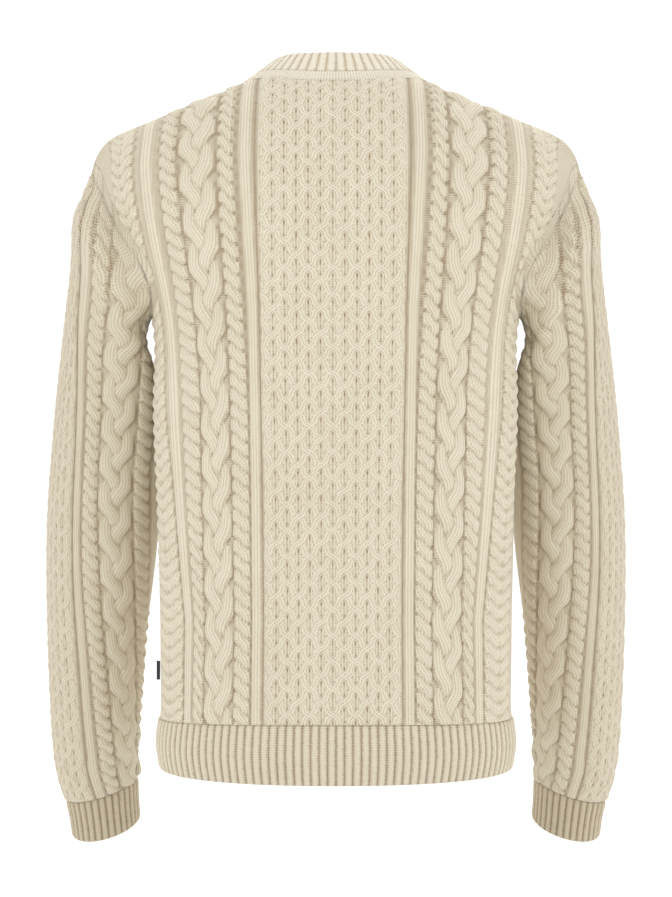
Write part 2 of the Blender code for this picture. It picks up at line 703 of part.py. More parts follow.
def wall(spots, edge_count, outer, inner, ridges, inner_spots, inner_edge_count):
    """Points and faces of a closed wall from its outer and inner points."""
    faces = triangulated(spots, edge_count, ridges)
    start = len(spots)
    faces += [[start + i for i in face[::-1]] for face in triangulated(inner_spots, inner_edge_count)]
    faces += bridge(list(range(edge_count)), list(range(start, start + inner_edge_count)), True)
    return np.concatenate([outer, inner]), faces


def side_seam(panel):
    """(across, height) up the side seam on the wearer's left, from the hem seam."""
    rows = np.sort(panel.row_heights)[HEM_SEAM_ROW:UNDERARM_ROW + 1]
    heights = np.sort(np.concatenate([rows, (rows[:-1] + rows[1:]) / 2]))
    heights[0] += SEAM_GAP / 2
    heights[-1] -= SEAM_GAP / 2
    return np.stack([panel.length(heights) - SEAM_GAP / 2, heights], 1)


def panel_edge(panel):
    """The loop of a body panel's edge: hem, side, armhole, shoulder, neck and back down."""
    side = side_seam(panel)
    armhole = armhole_edge(panel, ARMHOLE_STEPS + 1, -SEAM_GAP / 2)[::-1]
    armhole[:, 0] = np.minimum(armhole[:, 0], panel.length(armhole[:, 1]) - SEAM_GAP / 2)
    neck = neck_edge(panel, -SEAM_GAP / 2)
    for line in (armhole, neck):
        line[:, 1] = np.minimum(line[:, 1], panel.below_shoulder(line[:, 0], SEAM_GAP / 2))
    shoulder = np.linspace(armhole[-1], neck[-1], SHOULDER_STEPS + 1)
    shoulder[:, 1] = panel.below_shoulder(shoulder[:, 0], SEAM_GAP / 2)
    left = np.concatenate([side[:-1], armhole[:-1], shoulder[:-1]])
    right = left[::-1] * [-1, 1]
    hem = np.linspace(right[-1], left[0], HEM_SEAM_STEPS + 1)
    return np.concatenate([hem[:-1], left, neck[::-1], right[:-1]])


def lining(relief, shares, heights, half_width):
    """A plain, sparse grid for the inside of a wall."""
    spots = [(share * half_width(height), height) for height in heights for share in shares]
    return [spot for spot in spots if relief.clear_of_edge(*spot, LINING_MARGIN)]


def body_panel(name, panel):
    """The back or the front, with the whole chart on it."""
    edge = panel_edge(panel)
    low, high = panel.hem_seam, panel.height
    plain = plain_heights(
        lambda height: panel.point(panel.length(height) / 2, height),
        low + BODY_PLAIN_ENDS[0], high - BODY_PLAIN_ENDS[1], PLAIN_ROWS)
    relief = cables(BODY_CHART, edge, plain, low + BODY_CABLE_START, high, CHART_SHIFT,
                    lambda across: panel.below_shoulder(across, EDGE_MARGIN))
    spots = np.concatenate([edge, relief.spots])
    raised = np.concatenate([np.full(len(edge), EDGE_RELIEF), relief.heights])
    ridges = [(a + len(edge), b + len(edge)) for a, b in relief.ridges]
    outward = 1 if panel.front else -1
    ridge = panel.below_shoulder(np.abs(edge[:, 0]), SEAM_GAP)
    facing = np.where(edge[:, 1] > ridge, panel.height, edge[:, 1])
    outer, _ = wall_points(panel.point, outward, spots[:, 0], spots[:, 1], raised,
                           np.concatenate([facing, spots[len(edge):, 1]]))
    shares = np.concatenate([-LINING_SHARES[:0:-1], LINING_SHARES])
    inside = np.concatenate([edge[::2], lining(relief, shares, plain, panel.length)])
    _, inner = wall_points(panel.point, outward, inside[:, 0], inside[:, 1], np.zeros(len(inside)),
                           np.concatenate([facing[::2], inside[len(edge[::2]):, 1]]))
    points, faces = wall(spots, len(edge), outer, inner, ridges, inside, len(edge[::2]))
    return piece(name, points, faces)


def armhole_wall(into_hole):
    """Outer and inner points round the armhole, from the underarm over the front to the back.

    They lie along the body's own cloth, so that the sleeve meets it face to face.
    """
    both = []
    for panel, outward in ((FRONT, 1), (BACK, -1)):
        spots = armhole_edge(panel, ARMHOLE_STEPS + 1, into_hole)
        both.append(wall_points(panel.point, outward, spots[:, 0], spots[:, 1],
                                np.full(len(spots), EDGE_RELIEF)))
    walls = []
    for front, back in zip(*both):
        tip, underarm = (front[0] + back[0]) / 2, (front[-1] + back[-1]) / 2
        walls.append(np.concatenate([[underarm], front[-2:0:-1], [tip], back[1:-1], [underarm]]))
    return walls


def sleeve_edge():
    """The loop of the sleeve's edge, cut along its inner line: armhole, back, cuff, front."""
    levels = np.linspace(ARMHOLE_TURN, SLEEVE.cuff_seam - SEAM_GAP, SLEEVE_SEAM_STEPS - 1)
    levels = np.concatenate([[0, ARMHOLE_TURN / 2], levels])
    top = np.concatenate([
        np.linspace(-SLEEVE.length(0, True), 0, ARMHOLE_STEPS + 1)[:-1],
        np.linspace(0, SLEEVE.length(0, False), ARMHOLE_STEPS + 1),
    ])
    down = np.stack([SLEEVE.length(levels, False), levels], 1)
    up = np.stack([-SLEEVE.length(levels, True), levels], 1)[::-1]
    bottom = np.linspace(down[-1], up[0], CUFF_SEAM_STEPS + 1)
    return np.concatenate([np.stack([top, np.zeros(len(top))], 1), down[1:], bottom[1:], up[1:-1]])


def armhole_turn():
    """Places across, near the underarm, where the sleeve's cloth turns down from the armhole."""
    shares = np.linspace(TURN_START, 1, TURN_STEPS, endpoint=False)
    return [side * share * SLEEVE.length(ARMHOLE_TURN, side < 0)
            for side in (-1, 1) for share in shares]


def sleeve_wall():
    """Points and faces of the left sleeve."""
    edge = sleeve_edge()
    high = SLEEVE.cuff_seam
    plain = np.clip([row.height for row in SLEEVE_CHART], SLEEVE_PLAIN_ENDS[0],
                    high - SLEEVE_PLAIN_ENDS[1])
    relief = cables(SLEEVE_CHART, edge, plain, SLEEVE_CABLE_ENDS[0], high - SLEEVE_CABLE_ENDS[1], 0,
                    lambda across: high)
    for across in armhole_turn():
        relief.spots.append((across, ARMHOLE_TURN))
        relief.heights.append(EDGE_RELIEF)
    spots = np.concatenate([edge, relief.spots])
    raised = np.concatenate([np.full(len(edge), EDGE_RELIEF), relief.heights])
    ridges = [(a + len(edge), b + len(edge)) for a, b in relief.ridges]
    outer, _ = wall_points(SLEEVE.point, -1, spots[:, 0], spots[:, 1], raised)

    def half_width(level):
        return (SLEEVE.length(level, False) + SLEEVE.length(level, True)) / 2

    shares = np.linspace(-1, 1, SLEEVE_LINING_STEPS + 1)[1:-1]
    inside = lining(relief, shares, plain, half_width)
    inside += [(across, ARMHOLE_TURN) for across in armhole_turn()]
    inside = np.concatenate([edge[::2], inside])
    _, inner = wall_points(SLEEVE.point, -1, inside[:, 0], inside[:, 1], np.zeros(len(inside)))
    rim_outer, rim_inner = armhole_wall(SEAM_GAP / 2)
    outer[:len(rim_outer)] = rim_outer
    inner[:len(rim_inner[::2])] = rim_inner[::2]
    inner_count = len(edge[::2])
    steps = np.arange(1, SLEEVE_SEAM_STEPS + 1)
    outer[len(edge) - steps] = outer[2 * ARMHOLE_STEPS + steps]
    steps = steps[:SLEEVE_SEAM_STEPS // 2]
    inner[inner_count - steps] = inner[ARMHOLE_STEPS + steps]
    faces = triangulated(spots, len(edge), ridges)
    start = len(spots)
    faces += [[start + i for i in face[::-1]] for face in triangulated(inside, inner_count)]
    top, inner_top = 2 * ARMHOLE_STEPS, ARMHOLE_STEPS
    bottom, inner_bottom = top + SLEEVE_SEAM_STEPS, inner_top + SLEEVE_SEAM_STEPS // 2
    for first, count, inner_first, half_count in (
            (0, top, 0, inner_top),
            (bottom, CUFF_SEAM_STEPS, inner_bottom, CUFF_SEAM_STEPS // 2)):
        faces += bridge(list(range(first, first + count + 1)),
                        list(range(start + inner_first, start + inner_first + half_count + 1)), False)
    return np.concatenate([outer, inner]), faces


def strip(point, outward, columns, rows, relief, inner_columns, inner_rows, rims=None):
    """Points and faces of a ribbed band, from its across columns and height rows.

    relief holds a row of heights for each of rows. Equal ends make the band a ring. rims, when
    given, are the outer and inner points to use for the first row.
    """
    grids = []
    for across, heights, raised in ((columns, rows, relief),
                                    (inner_columns, inner_rows, np.zeros((len(inner_rows), 1)))):
        level = np.repeat(np.asarray(heights)[:, None], across.shape[-1], axis=1)
        spread = np.broadcast_to(across, level.shape)
        raised = np.broadcast_to(raised, level.shape)
        grids.append(wall_points(point, outward, spread, level, raised))
    outer, inner = grids[0][0], grids[1][1]
    if rims is not None:
        outer[0], inner[0] = rims
    faces, start = [], outer.shape[0] * outer.shape[1]
    for grid, offset in ((outer, 0), (inner, start)):
        height, width = grid.shape[:2]
        for i in range(height - 1):
            for j in range(width - 1):
                corner = offset + i * width + j
                quad = [corner, corner + 1, corner + width + 1, corner + width]
                if offset:
                    quad.reverse()
                faces += [(quad[0], quad[1], quad[2]), (quad[0], quad[2], quad[3])]
    numbers = np.arange(start).reshape(outer.shape[:2])
    inner_numbers = start + np.arange(inner.shape[0] * inner.shape[1]).reshape(inner.shape[:2])
    faces += bridge(list(numbers[0]), list(inner_numbers[0]), False)
    faces += bridge(list(numbers[-1]), list(inner_numbers[-1]), False)
    if not np.allclose(outer[:, 0], outer[:, -1], atol=WELD):
        faces += bridge(list(numbers[:, 0]), list(inner_numbers[:, 0]), False)
        faces += bridge(list(numbers[:, -1]), list(inner_numbers[:, -1]), False)
    return np.concatenate([outer.reshape(-1, 3), inner.reshape(-1, 3)]), faces


def rib_profile(ribs):
    """Groove and crest in turn over a count of ribs, with a groove at both ends."""
    return np.resize((0.0, TRIM_RIB_HEIGHT), 2 * ribs + 1)


def hem_piece(name, panel):
    """The back or the front half of the hem rib."""
    shares = np.linspace(-1, 1, 2 * HEM_RIBS + 1)
    rows = np.array([0.0, panel.hem_seam / 2, panel.hem_seam - SEAM_GAP / 2])
    width = (panel.length(rows) - SEAM_GAP / 2)[:, None]
    profile = rib_profile(HEM_RIBS)
    relief = np.stack([profile * EDGE_TAPER, profile, profile * EDGE_TAPER])
    inner_shares = shares[::HEM_LINING_EVERY]
    outward = 1 if panel.front else -1
    points, faces = strip(panel.point, outward, shares * width, rows, relief,
                          inner_shares * width, rows)
    return piece(name, points, faces)


def cuff_wall():
    """Points and faces of the left cuff."""
    levels = np.array([SEAM_GAP, CUFF_RIB_START, SLEEVE.end - SLEEVE.cuff_seam])
    levels += SLEEVE.cuff_seam
    profile = rib_profile(CUFF_RIBS)
    relief = np.stack([profile * SEAM_TAPER, profile, profile * EDGE_TAPER])

    def spread(count):
        share = np.linspace(-1, 1, count + 1)
        front = SLEEVE.length(levels, True)[:, None]
        back = SLEEVE.length(levels, False)[:, None]
        return np.where(share < 0, share * front, share * back)

    return strip(SLEEVE.point, -1, spread(2 * CUFF_RIBS), levels, relief,
                 spread(CUFF_RIBS // 2)[::2], levels[::2])


def neck_rim():
    """Outer and inner points of the binding's edge at the neck seam, along the body's cloth."""
    both = []
    for panel, outward in ((BACK, -1), (FRONT, 1)):
        spots = neck_edge(panel, SEAM_GAP / 2)
        both.append(wall_points(panel.point, outward, spots[:, 0], spots[:, 1],
                                np.full(len(spots), EDGE_RELIEF)))
    rims = []
    for back, front in zip(*both):
        right, left = (back[0] + front[0]) / 2, (back[-1] + front[-1]) / 2
        rims.append(np.concatenate([[right], back[1:-1], [left], front[-2:0:-1], [right]]))
    return rims


def neck_binding():
    """The folded strip that covers the neck seam."""
    rows = np.array([0.0, BINDING_WIDTH / 2, BINDING_WIDTH - SEAM_GAP / 2])
    columns = np.arange(NECK_BAND.ribs + 1)
    relief = np.array([[EDGE_RELIEF], [BINDING_HEIGHT], [EDGE_RELIEF]])
    rim_outer, rim_inner = neck_rim()
    points, faces = strip(NECK_BAND.point, -1, columns, rows, relief, columns[::2], rows[::2],
                          (rim_outer, rim_inner[::2]))
    return piece("neck_binding", points, faces)


def collar():
    """The neck rib that stands up from the binding."""
    rows = np.array([BINDING_WIDTH + SEAM_GAP / 2, BINDING_WIDTH + COLLAR_WIDTH])
    columns = np.arange(2 * NECK_BAND.ribs + 1) / 2
    relief = np.stack([rib_profile(NECK_BAND.ribs), rib_profile(NECK_BAND.ribs) * EDGE_TAPER])
    points, faces = strip(NECK_BAND.point, -1, columns, rows, relief, columns[::4], rows)
    return piece("collar", points, faces)


def side_label():
    """The small woven label that is caught in the side seam and hangs out of it."""
    mesh = bpy.data.meshes.new("side_label")
    shape = bmesh.new()
    bmesh.ops.create_cube(shape, size=1)
    bmesh.ops.scale(shape, verts=shape.verts, vec=np.array(LABEL_SIZE) * METRES)
    bmesh.ops.bevel(shape, geom=shape.edges, offset=LABEL_BEVEL * METRES, segments=1,
                    affect="EDGES")
    height = np.interp(LABEL_Z, [row.edge_z for row in BACK_ROWS],
                       BACK.row_heights[:len(BACK_ROWS)])
    edge = BACK.point(BACK.length(height), height)
    place = edge + [LABEL_SIZE[0] / 2 + LABEL_CLEARANCE, 0, 0]
    bmesh.ops.translate(shape, verts=shape.verts, vec=place * METRES)
    shape.to_mesh(mesh)
    shape.free()
    mesh.materials.append(finish("side_label"))
    made = bpy.data.objects.new("side_label", mesh)
    bpy.data.collections[COLLECTION_NAME].objects.link(made)
    return made


Finish = namedtuple("Finish", "red green blue roughness metallic")
CREAM_KNIT = Finish(0.76, 0.70, 0.565, 0.95, 0.0)
CREAM_TRIM = Finish(0.74, 0.68, 0.545, 0.93, 0.0)
LABEL_WEAVE = Finish(0.012, 0.011, 0.011, 0.6, 0.0)
FINISHES = {
    "hem_rib_back": CREAM_TRIM, "hem_rib_front": CREAM_TRIM, "left_cuff": CREAM_TRIM,
    "right_cuff": CREAM_TRIM, "neck_binding": CREAM_TRIM, "collar": CREAM_TRIM,
    "side_label": LABEL_WEAVE,
}


def finish(name):
    """The piece's own material."""
    look = FINISHES.get(name, CREAM_KNIT)
    material = bpy.data.materials.new(name)
    material.use_nodes = True
    shader = material.node_tree.nodes["Principled BSDF"]
    shader.inputs["Base Color"].default_value = (look.red, look.green, look.blue, 1)
    shader.inputs["Roughness"].default_value = look.roughness
    shader.inputs["Metallic"].default_value = look.metallic
    material.diffuse_color = (look.red, look.green, look.blue, 1)
    return material


def main():
    """Builds every piece of the sweater."""
    for thing in list(bpy.data.objects):
        bpy.data.objects.remove(thing, do_unlink=True)
    collection = bpy.data.collections.new(COLLECTION_NAME)
    bpy.context.scene.collection.children.link(collection)
    body_panel("back_panel", BACK)
    body_panel("front_panel", FRONT)
    points, faces = sleeve_wall()
    piece("left_sleeve", points, faces)
    mirrored("right_sleeve", points, faces)
    hem_piece("hem_rib_back", BACK)
    hem_piece("hem_rib_front", FRONT)
    points, faces = cuff_wall()
    piece("left_cuff", points, faces)
    mirrored("right_cuff", points, faces)
    neck_binding()
    collar()
    side_label()


main()
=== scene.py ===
"""Dresses the cable knit sweater: its knitted cloth, ribs, neck binding and label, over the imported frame.

Lengths in the tables are in millimetres and the meshes are in metres. +Z is up, the front faces -Y and
the wearer's left is +X. A panel is read by across, the distance from its middle along the cloth, and by
height, the distance up the cloth. Every knitted piece is a closed shell: a fine outer face that carries
the cables, a plain inner face, and a rim that joins them along the seams.
"""

from __future__ import annotations

import json
import logging
import math
from dataclasses import dataclass, field
from enum import Enum
from typing import Callable, NamedTuple

import bpy
import numpy as np
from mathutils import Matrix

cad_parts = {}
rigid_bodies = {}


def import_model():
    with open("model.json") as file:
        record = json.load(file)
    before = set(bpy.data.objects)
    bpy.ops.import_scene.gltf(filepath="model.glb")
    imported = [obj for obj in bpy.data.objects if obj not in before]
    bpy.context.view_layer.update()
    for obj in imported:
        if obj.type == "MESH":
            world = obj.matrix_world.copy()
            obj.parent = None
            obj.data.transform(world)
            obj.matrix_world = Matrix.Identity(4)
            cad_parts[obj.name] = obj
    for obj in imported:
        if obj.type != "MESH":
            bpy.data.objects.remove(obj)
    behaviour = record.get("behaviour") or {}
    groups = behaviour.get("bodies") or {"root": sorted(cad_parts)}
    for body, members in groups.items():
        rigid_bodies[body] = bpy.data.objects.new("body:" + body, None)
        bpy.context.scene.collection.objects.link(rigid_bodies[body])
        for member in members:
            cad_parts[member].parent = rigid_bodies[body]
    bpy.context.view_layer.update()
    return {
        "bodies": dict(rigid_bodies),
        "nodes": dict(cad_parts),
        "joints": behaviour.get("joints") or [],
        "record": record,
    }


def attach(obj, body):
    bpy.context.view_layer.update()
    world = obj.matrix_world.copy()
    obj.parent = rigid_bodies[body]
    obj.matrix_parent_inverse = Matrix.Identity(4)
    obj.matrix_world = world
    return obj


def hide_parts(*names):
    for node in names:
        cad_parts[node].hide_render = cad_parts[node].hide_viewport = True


Array = np.ndarray
Strand = tuple[np.ndarray, np.ndarray, np.ndarray]  # its level, and the column and course of its stitches
Colour = tuple[float, float, float]
Value = bpy.types.NodeSocket | float | tuple[float, ...]  # what a node's input can be given

LOG = logging.getLogger("sweater")
METRES = 0.001

WALL = 2.6  # plain knitted ground, under the cables
SEAM_GAP = 0.12  # between two pieces along their seam
EDGE_RELIEF = 0.5  # how far the outer face stands out where it ends at a seam
SEAM_TAPER = 3.2  # the relief grows from that to its full height over this much cloth
PROBE = 0.4  # half the step by which a surface's direction is read
RIDGE_REACH = 6.0  # this near to the shoulder ridge, the lining moves straight in from its fold
LEAST_RELIEF = 0.1  # the share of the relief that is left where it fades out
LEAST_HOLLOW = 0.25  # and the share of the painted shade in its hollows
CROWN_FADE = 56.0  # the relief of a body panel fades out over this much of its top
SLEEVE_HEAD_FADE = 42.0  # and that of a sleeve over this much of its head
SLEEVE_CELL, SLEEVE_COURSE = 1.6, 1.7  # the width and height of a square in the grid of a sleeve
GRID_MARGIN = 3  # a grid reaches this far past the widest place of its edge

STITCH_WIDTH = 2.85
STITCH_HEIGHT = 2.3
KNIT_SHADE = 0.55  # how far the holes of the knit side go towards the deep colour
PURL_SHADE = 0.9  # the gaps of the purl side, at most: half of it everywhere, and half more as painted shade in hollows
HOLLOW_SHADE = 0.3  # and what lies lower than the cloth around it, as painted shade
EYE_LINE = 0.6  # how dark the middle line of an eye is between its tips: its slit, deepened by painted shade

ROW_SAMPLES = 97
CURVE_SAMPLES = 801
LENGTH_SAMPLES = 129
LENGTH_LEVELS = 400
KNOT_SAMPLES = 40  # for each knot of a smooth line
SIDE_SAMPLES, NECK_SAMPLES, SEAM_SAMPLES = 60, 121, 160  # along a body panel's side, its neck, a sleeve
SPREAD_WEIGHTS = (1.0, 2.0, 3.0, 2.0, 1.0)  # of the places around one, when a grid is averaged
TINY = 1e-6  # a step shorter than this is none
COLOUR_MIX_INPUTS, COLOUR_MIX_RESULT = (0, 6, 7), 2  # the sockets of a Mix node that mixes colours
BELOW_ALL = -99.0  # the level of a strand where it isn't there


class Middle(NamedTuple):
    """The middle of a panel in a row, and the handles of the row's curve there and at the side line."""

    y: float
    z: float
    reach: float
    edge_reach: float


class TorsoRow(NamedTuple):
    """A row round the body, from the middle of either panel out to the side line.

    wrap is how far a panel has turned towards the other one where they meet, dip how steeply it runs
    down there, in degrees.
    """

    edge_x: float
    edge_y: float
    edge_z: float
    wrap: float
    dip: float
    back: Middle
    front: Middle


class LinePoint(NamedTuple):
    """A point of the shoulder ridge, or of the top of the line that the sleeve's grain follows."""

    x: float
    y: float
    z: float


class SleeveRing(NamedTuple):
    """A ring of the sleeve, from its outer line to its inner line, with half its depth and its pitch."""

    outer_x: float
    outer_z: float
    inner_x: float
    inner_z: float
    mid_y: float
    depth: float
    pitch: float


class ArmholePoint(NamedTuple):
    """How far each panel stops short of the side line, at a rise above the underarm."""

    rise: float
    back_cut: float
    front_cut: float


class ChartRow(NamedTuple):
    """Where the cables of one half lie at a height, as distances across from the middle."""

    height: float
    comb: float
    rib_a_in: float
    rib_a_out: float
    rope_a_in: float
    rope_a_out: float
    plait_in: float
    plait_out: float
    rope_b_in: float
    rope_b_out: float
    rib_b_in: float
    rib_b_out: float
    wheat_in: float = 300  # far past the sides, where there is none
    wheat_out: float = 320


class RibFade(NamedTuple):
    """The share of their full height that ribs have at a distance from an end of their band."""

    inset: float
    share: float


@dataclass(frozen=True)
class BandPlan:
    """The rows of points of a ribbed band, and how its ribs fade out at both ends.

    first and last are the distances of rows from the lower and the upper end. From the last of first
    to the first of last run even rows.
    """

    first: tuple[float, ...]
    even: int
    last: tuple[float, ...]
    lower: tuple[RibFade, ...]
    upper: tuple[RibFade, ...]

    def levels(self, start: float, end: float) -> Array:
        """The levels of the rows of a band that runs from one level to another."""
        even = np.linspace(start + self.first[-1], end - self.last[0], self.even)
        return np.concatenate([start + np.array(self.first[:-1]), even, end - np.array(self.last[1:])])

    def heights(self, start: float, end: float) -> Array:
        """The share of their full height that the ribs have in each of those rows."""
        places = [start + fade.inset for fade in self.lower] + [end - fade.inset for fade in self.upper]
        return np.interp(self.levels(start, end), places, [fade.share for fade in self.lower + self.upper])


TORSO_ROWS = (
    TorsoRow(174.0, -2, -682.5, 90, 0, Middle(103, -682.5, 108, 62), Middle(-119, -682.5, 108, 68)),
    TorsoRow(178.0, -2, -657.0, 90, 0, Middle(107, -655.0, 110, 64), Middle(-123, -656.0, 110, 70)),
    TorsoRow(175.5, -2, -632.0, 90, 0, Middle(105, -625.0, 108, 63), Middle(-122, -629.0, 108, 70)),
    TorsoRow(175.0, -2, -590.0, 90, 0, Middle(103, -583.0, 108, 62), Middle(-121, -587.0, 108, 69)),
    TorsoRow(175.5, -3, -540.0, 90, 0, Middle(99, -533.0, 108, 60), Middle(-120, -537.0, 108, 68)),
    TorsoRow(177.0, -4, -470.0, 90, 0, Middle(95, -463.0, 109, 58), Middle(-119, -467.0, 109, 66)),
    TorsoRow(179.0, -5, -390.0, 90, 0, Middle(94, -383.0, 110, 58), Middle(-121, -387.0, 110, 66)),
    TorsoRow(181.0, -8, -310.0, 90, 0, Middle(100, -301.0, 112, 63), Middle(-125, -306.0, 112, 66)),
    TorsoRow(183.0, -16, -238.0, 90, 0, Middle(110, -225.0, 116, 74), Middle(-129, -232.0, 116, 68)),
    TorsoRow(197.0, -17, -200.0, 89, 4, Middle(114, -185.0, 126, 80), Middle(-129, -190.0, 124, 72)),
    TorsoRow(217.0, -15, -165.0, 86, 10, Middle(115, -148.0, 138, 82), Middle(-126, -150.0, 134, 76)),
    TorsoRow(232.0, -10, -130.0, 80, 18, Middle(111, -108.0, 146, 76), Middle(-119, -110.0, 146, 76)),
    TorsoRow(240.0, -5, -103.0, 62, 45, Middle(99, -64.0, 140, 60), Middle(-106, -66.0, 140, 60)),
    TorsoRow(242.5, -1, -90.0, 30, 65, Middle(66, -9.0, 66, 62), Middle(-80, -12.0, 66, 62)),
)
RIDGE = (
    LinePoint(0, -8, 27.0),
    LinePoint(50, -7, 18.0),
    LinePoint(94.6, -5, -1.5),
    LinePoint(137, -3, -23.5),
    LinePoint(187, -2, -39.0),
    LinePoint(212, -1, -48.5),
    LinePoint(227, 0, -57.0),
    LinePoint(236, 0, -67.0),
    LinePoint(241, 0, -77.0),
    LinePoint(243, 0, -85.0),
)
HEM_SEAM_ROW, UNDERARM_ROW = 2, 8  # rows of the torso, from below

SLEEVE_RINGS = (
    SleeveRing(258.5, -122, 194.0, -250, -20, 61, 0),
    SleeveRing(265.5, -165, 190.5, -270, -32, 61, 0),
    SleeveRing(272.5, -215, 184.0, -294, -46, 61, 0),
    SleeveRing(280.5, -265, 179.0, -320, -60, 61, 0),
    SleeveRing(287.5, -314, 177.0, -350, -70, 60, 0),
    SleeveRing(293.5, -366, 179.0, -388, -79, 59, 0),
    SleeveRing(298.5, -418, 184.0, -432, -86, 58, 0),
    SleeveRing(301.5, -481, 192.5, -489, -94, 56, 2),
    SleeveRing(302.5, -546, 201.5, -548, -104, 52, 3),
    SleeveRing(302.5, -633, 210.5, -628, -121, 47, 5),
    SleeveRing(301.5, -678, 213.5, -668, -131, 45, 6),
    SleeveRing(297.5, -714, 215.5, -698, -138, 43, 7),
    SleeveRing(290.5, -741, 216.0, -720, -143, 39, 8),
)
CUFF_RINGS = (
    SleeveRing(286.5, -759, 216.0, -741, -146, 37, 9),
    SleeveRing(284.0, -781, 214.5, -766, -150, 37, 13),
)
ARMHOLE = (
    ArmholePoint(0, 0, 0),
    ArmholePoint(2, 20, 24),
    ArmholePoint(9, 42, 50),
    ArmholePoint(24, 60, 71),
    ArmholePoint(48, 68, 79),
    ArmholePoint(75, 60, 70),
    ArmholePoint(112, 38, 45),
    ArmholePoint(150, 21, 24),
    ArmholePoint(200, 11, 12),
    ArmholePoint(250, 7, 7),
    ArmholePoint(308, 5, 5),
)
ARMHOLE_TURN = 3.5  # a sleeve follows the armhole's own line this far past the seam
ARMHOLE_SAMPLES = 400

NECK_HALF_WIDTH = 99
NECK_DROP_BACK = 85
NECK_DROP_FRONT = 150
BINDING_WIDTH = 10
COLLAR_WIDTH = 19
COLLAR_SPREAD, COLLAR_REACH = 0.69, 0.863  # the top of the neck rib over its foot, sideways and in depth
NECK_MIDDLE_Y = -5
COLLAR_RISE_SIDE, COLLAR_RISE_BACK, COLLAR_RISE_FRONT = 19.5, 29.5, 26.0
NECK_RIBS_BACK, NECK_RIBS_FRONT = 28, 36
HEM_RIBS = 58
CUFF_RIBS = 32
RIB_SAMPLES = 8  # columns of points for each rib
RIB_ROUNDNESS = 0.7
GROOVE_SHARE = 0.6  # what is lower than this share of a rib counts as its groove, which gets painted shade
RING_CLOSES = 1e-3  # a band whose ends are this near goes all round
BINDING_ROWS = 9
BINDING_SWELL, BINDING_ROUNDNESS = 0.4, 2.4

BODY_CHART = (
    ChartRow(0, 65, 69, 78, 81, 96, 99, 128, 131, 142, 145, 154, 156, 196),
    ChartRow(157, 64, 68, 77, 79, 94, 96, 125, 127, 138, 141, 150, 153, 194),
    ChartRow(270, 65, 69, 78, 80, 96, 99, 128, 131, 147, 151, 163, 166, 203),
    ChartRow(383, 67, 71, 79, 83, 98, 102, 130, 133, 153, 159, 174, 183, 215),
    ChartRow(459, 68, 72, 80, 88, 102, 107, 138, 142, 161, 170, 184, 194, 224),
    ChartRow(601, 69, 79, 88, 97, 109, 116, 149, 157, 171, 183, 195, 209, 240),
    ChartRow(770, 71, 80, 89, 98, 110, 117, 150, 158, 171, 183, 195, 209, 238),
)
SLEEVE_CHART = (
    ChartRow(-32, 6, 9, 20, 25, 42, 47, 80, 84, 102, 108, 116),
    ChartRow(-12, 17, 21, 37, 42, 61, 65, 98, 102, 120, 126, 134),
    ChartRow(0, 35, 39, 51, 57, 72, 76, 109, 113, 131, 137, 145),
    ChartRow(14, 46, 50, 63, 68, 81, 85, 117, 121, 139, 145, 153),
    ChartRow(30, 48, 52, 69, 74, 87, 90, 122, 126, 144, 150, 158),
    ChartRow(60, 47, 51, 66, 74, 89, 93, 126, 130, 148, 154, 162),
    ChartRow(115, 52, 56, 64, 71, 86, 90, 124, 128, 147, 153, 161),
    ChartRow(175, 56, 60, 66, 72, 86, 90, 122, 127, 146, 152, 160),
    ChartRow(243, 59, 62, 68, 73, 86, 89, 121, 125, 142, 148, 157),
    ChartRow(343, 61, 65, 71, 75, 90, 93, 126, 131, 150, 155, 163),
    ChartRow(448, 62, 66, 73, 77, 91, 95, 128, 134, 151, 157, 166),
    ChartRow(549, 62, 66, 74, 79, 93, 97, 129, 136, 152, 158, 167),
    ChartRow(614, 58, 61, 70, 74, 88, 92, 123, 130, 147, 153, 162),
)
GRAIN_TOP = (
    LinePoint(150, -5, -40),
    LinePoint(180, -10, -90),
    LinePoint(203, -18, -135),
    LinePoint(218, -28, -180),
    LinePoint(225, -44, -235),
)
GRAIN_FIRST_RING = 3  # from this ring down, the grain follows the rings
GRAIN_WINDOW = CURVE_SAMPLES // 7  # its line is smoothed over this many of its samples
GRAIN_STEPS = 10  # how often a point's course is set right
GRAIN_START = 157.0  # the course at the first ring that the grain passes through the middle of
GRAIN_HEAD = 150.0  # above this course the sleeve is counted as wide as here
CHART_SHIFT = 3.1  # the body's chart has its middle this far towards the wearer's left

HEM_PLAN = BandPlan(
    first=(0, 0.8, 2.0, 4.0), even=12, last=(3, 1.2, 0),
    lower=(RibFade(0, 0.1), RibFade(0.8, 0.6), RibFade(2.0, 0.9), RibFade(5.0, 1)),
    upper=(RibFade(3, 1), RibFade(0, 0.3)))
CUFF_PLAN = BandPlan(
    first=(0, 1.5, 4, 6), even=8, last=(4, 2, 0.8, 0),
    lower=(RibFade(0, 0.25), RibFade(5, 1)),
    upper=(RibFade(5, 1), RibFade(2, 0.9), RibFade(0.8, 0.6), RibFade(0, 0.1)))
COLLAR_PLAN = BandPlan(
    first=(0,), even=9, last=(2, 0.8, 0),
    lower=(RibFade(0, 0.5), RibFade(2.5, 1)),
    upper=(RibFade(2, 0.9), RibFade(0.8, 0.6), RibFade(0, 0.1)))

# ------------------------------------------------------------------------------ surfaces


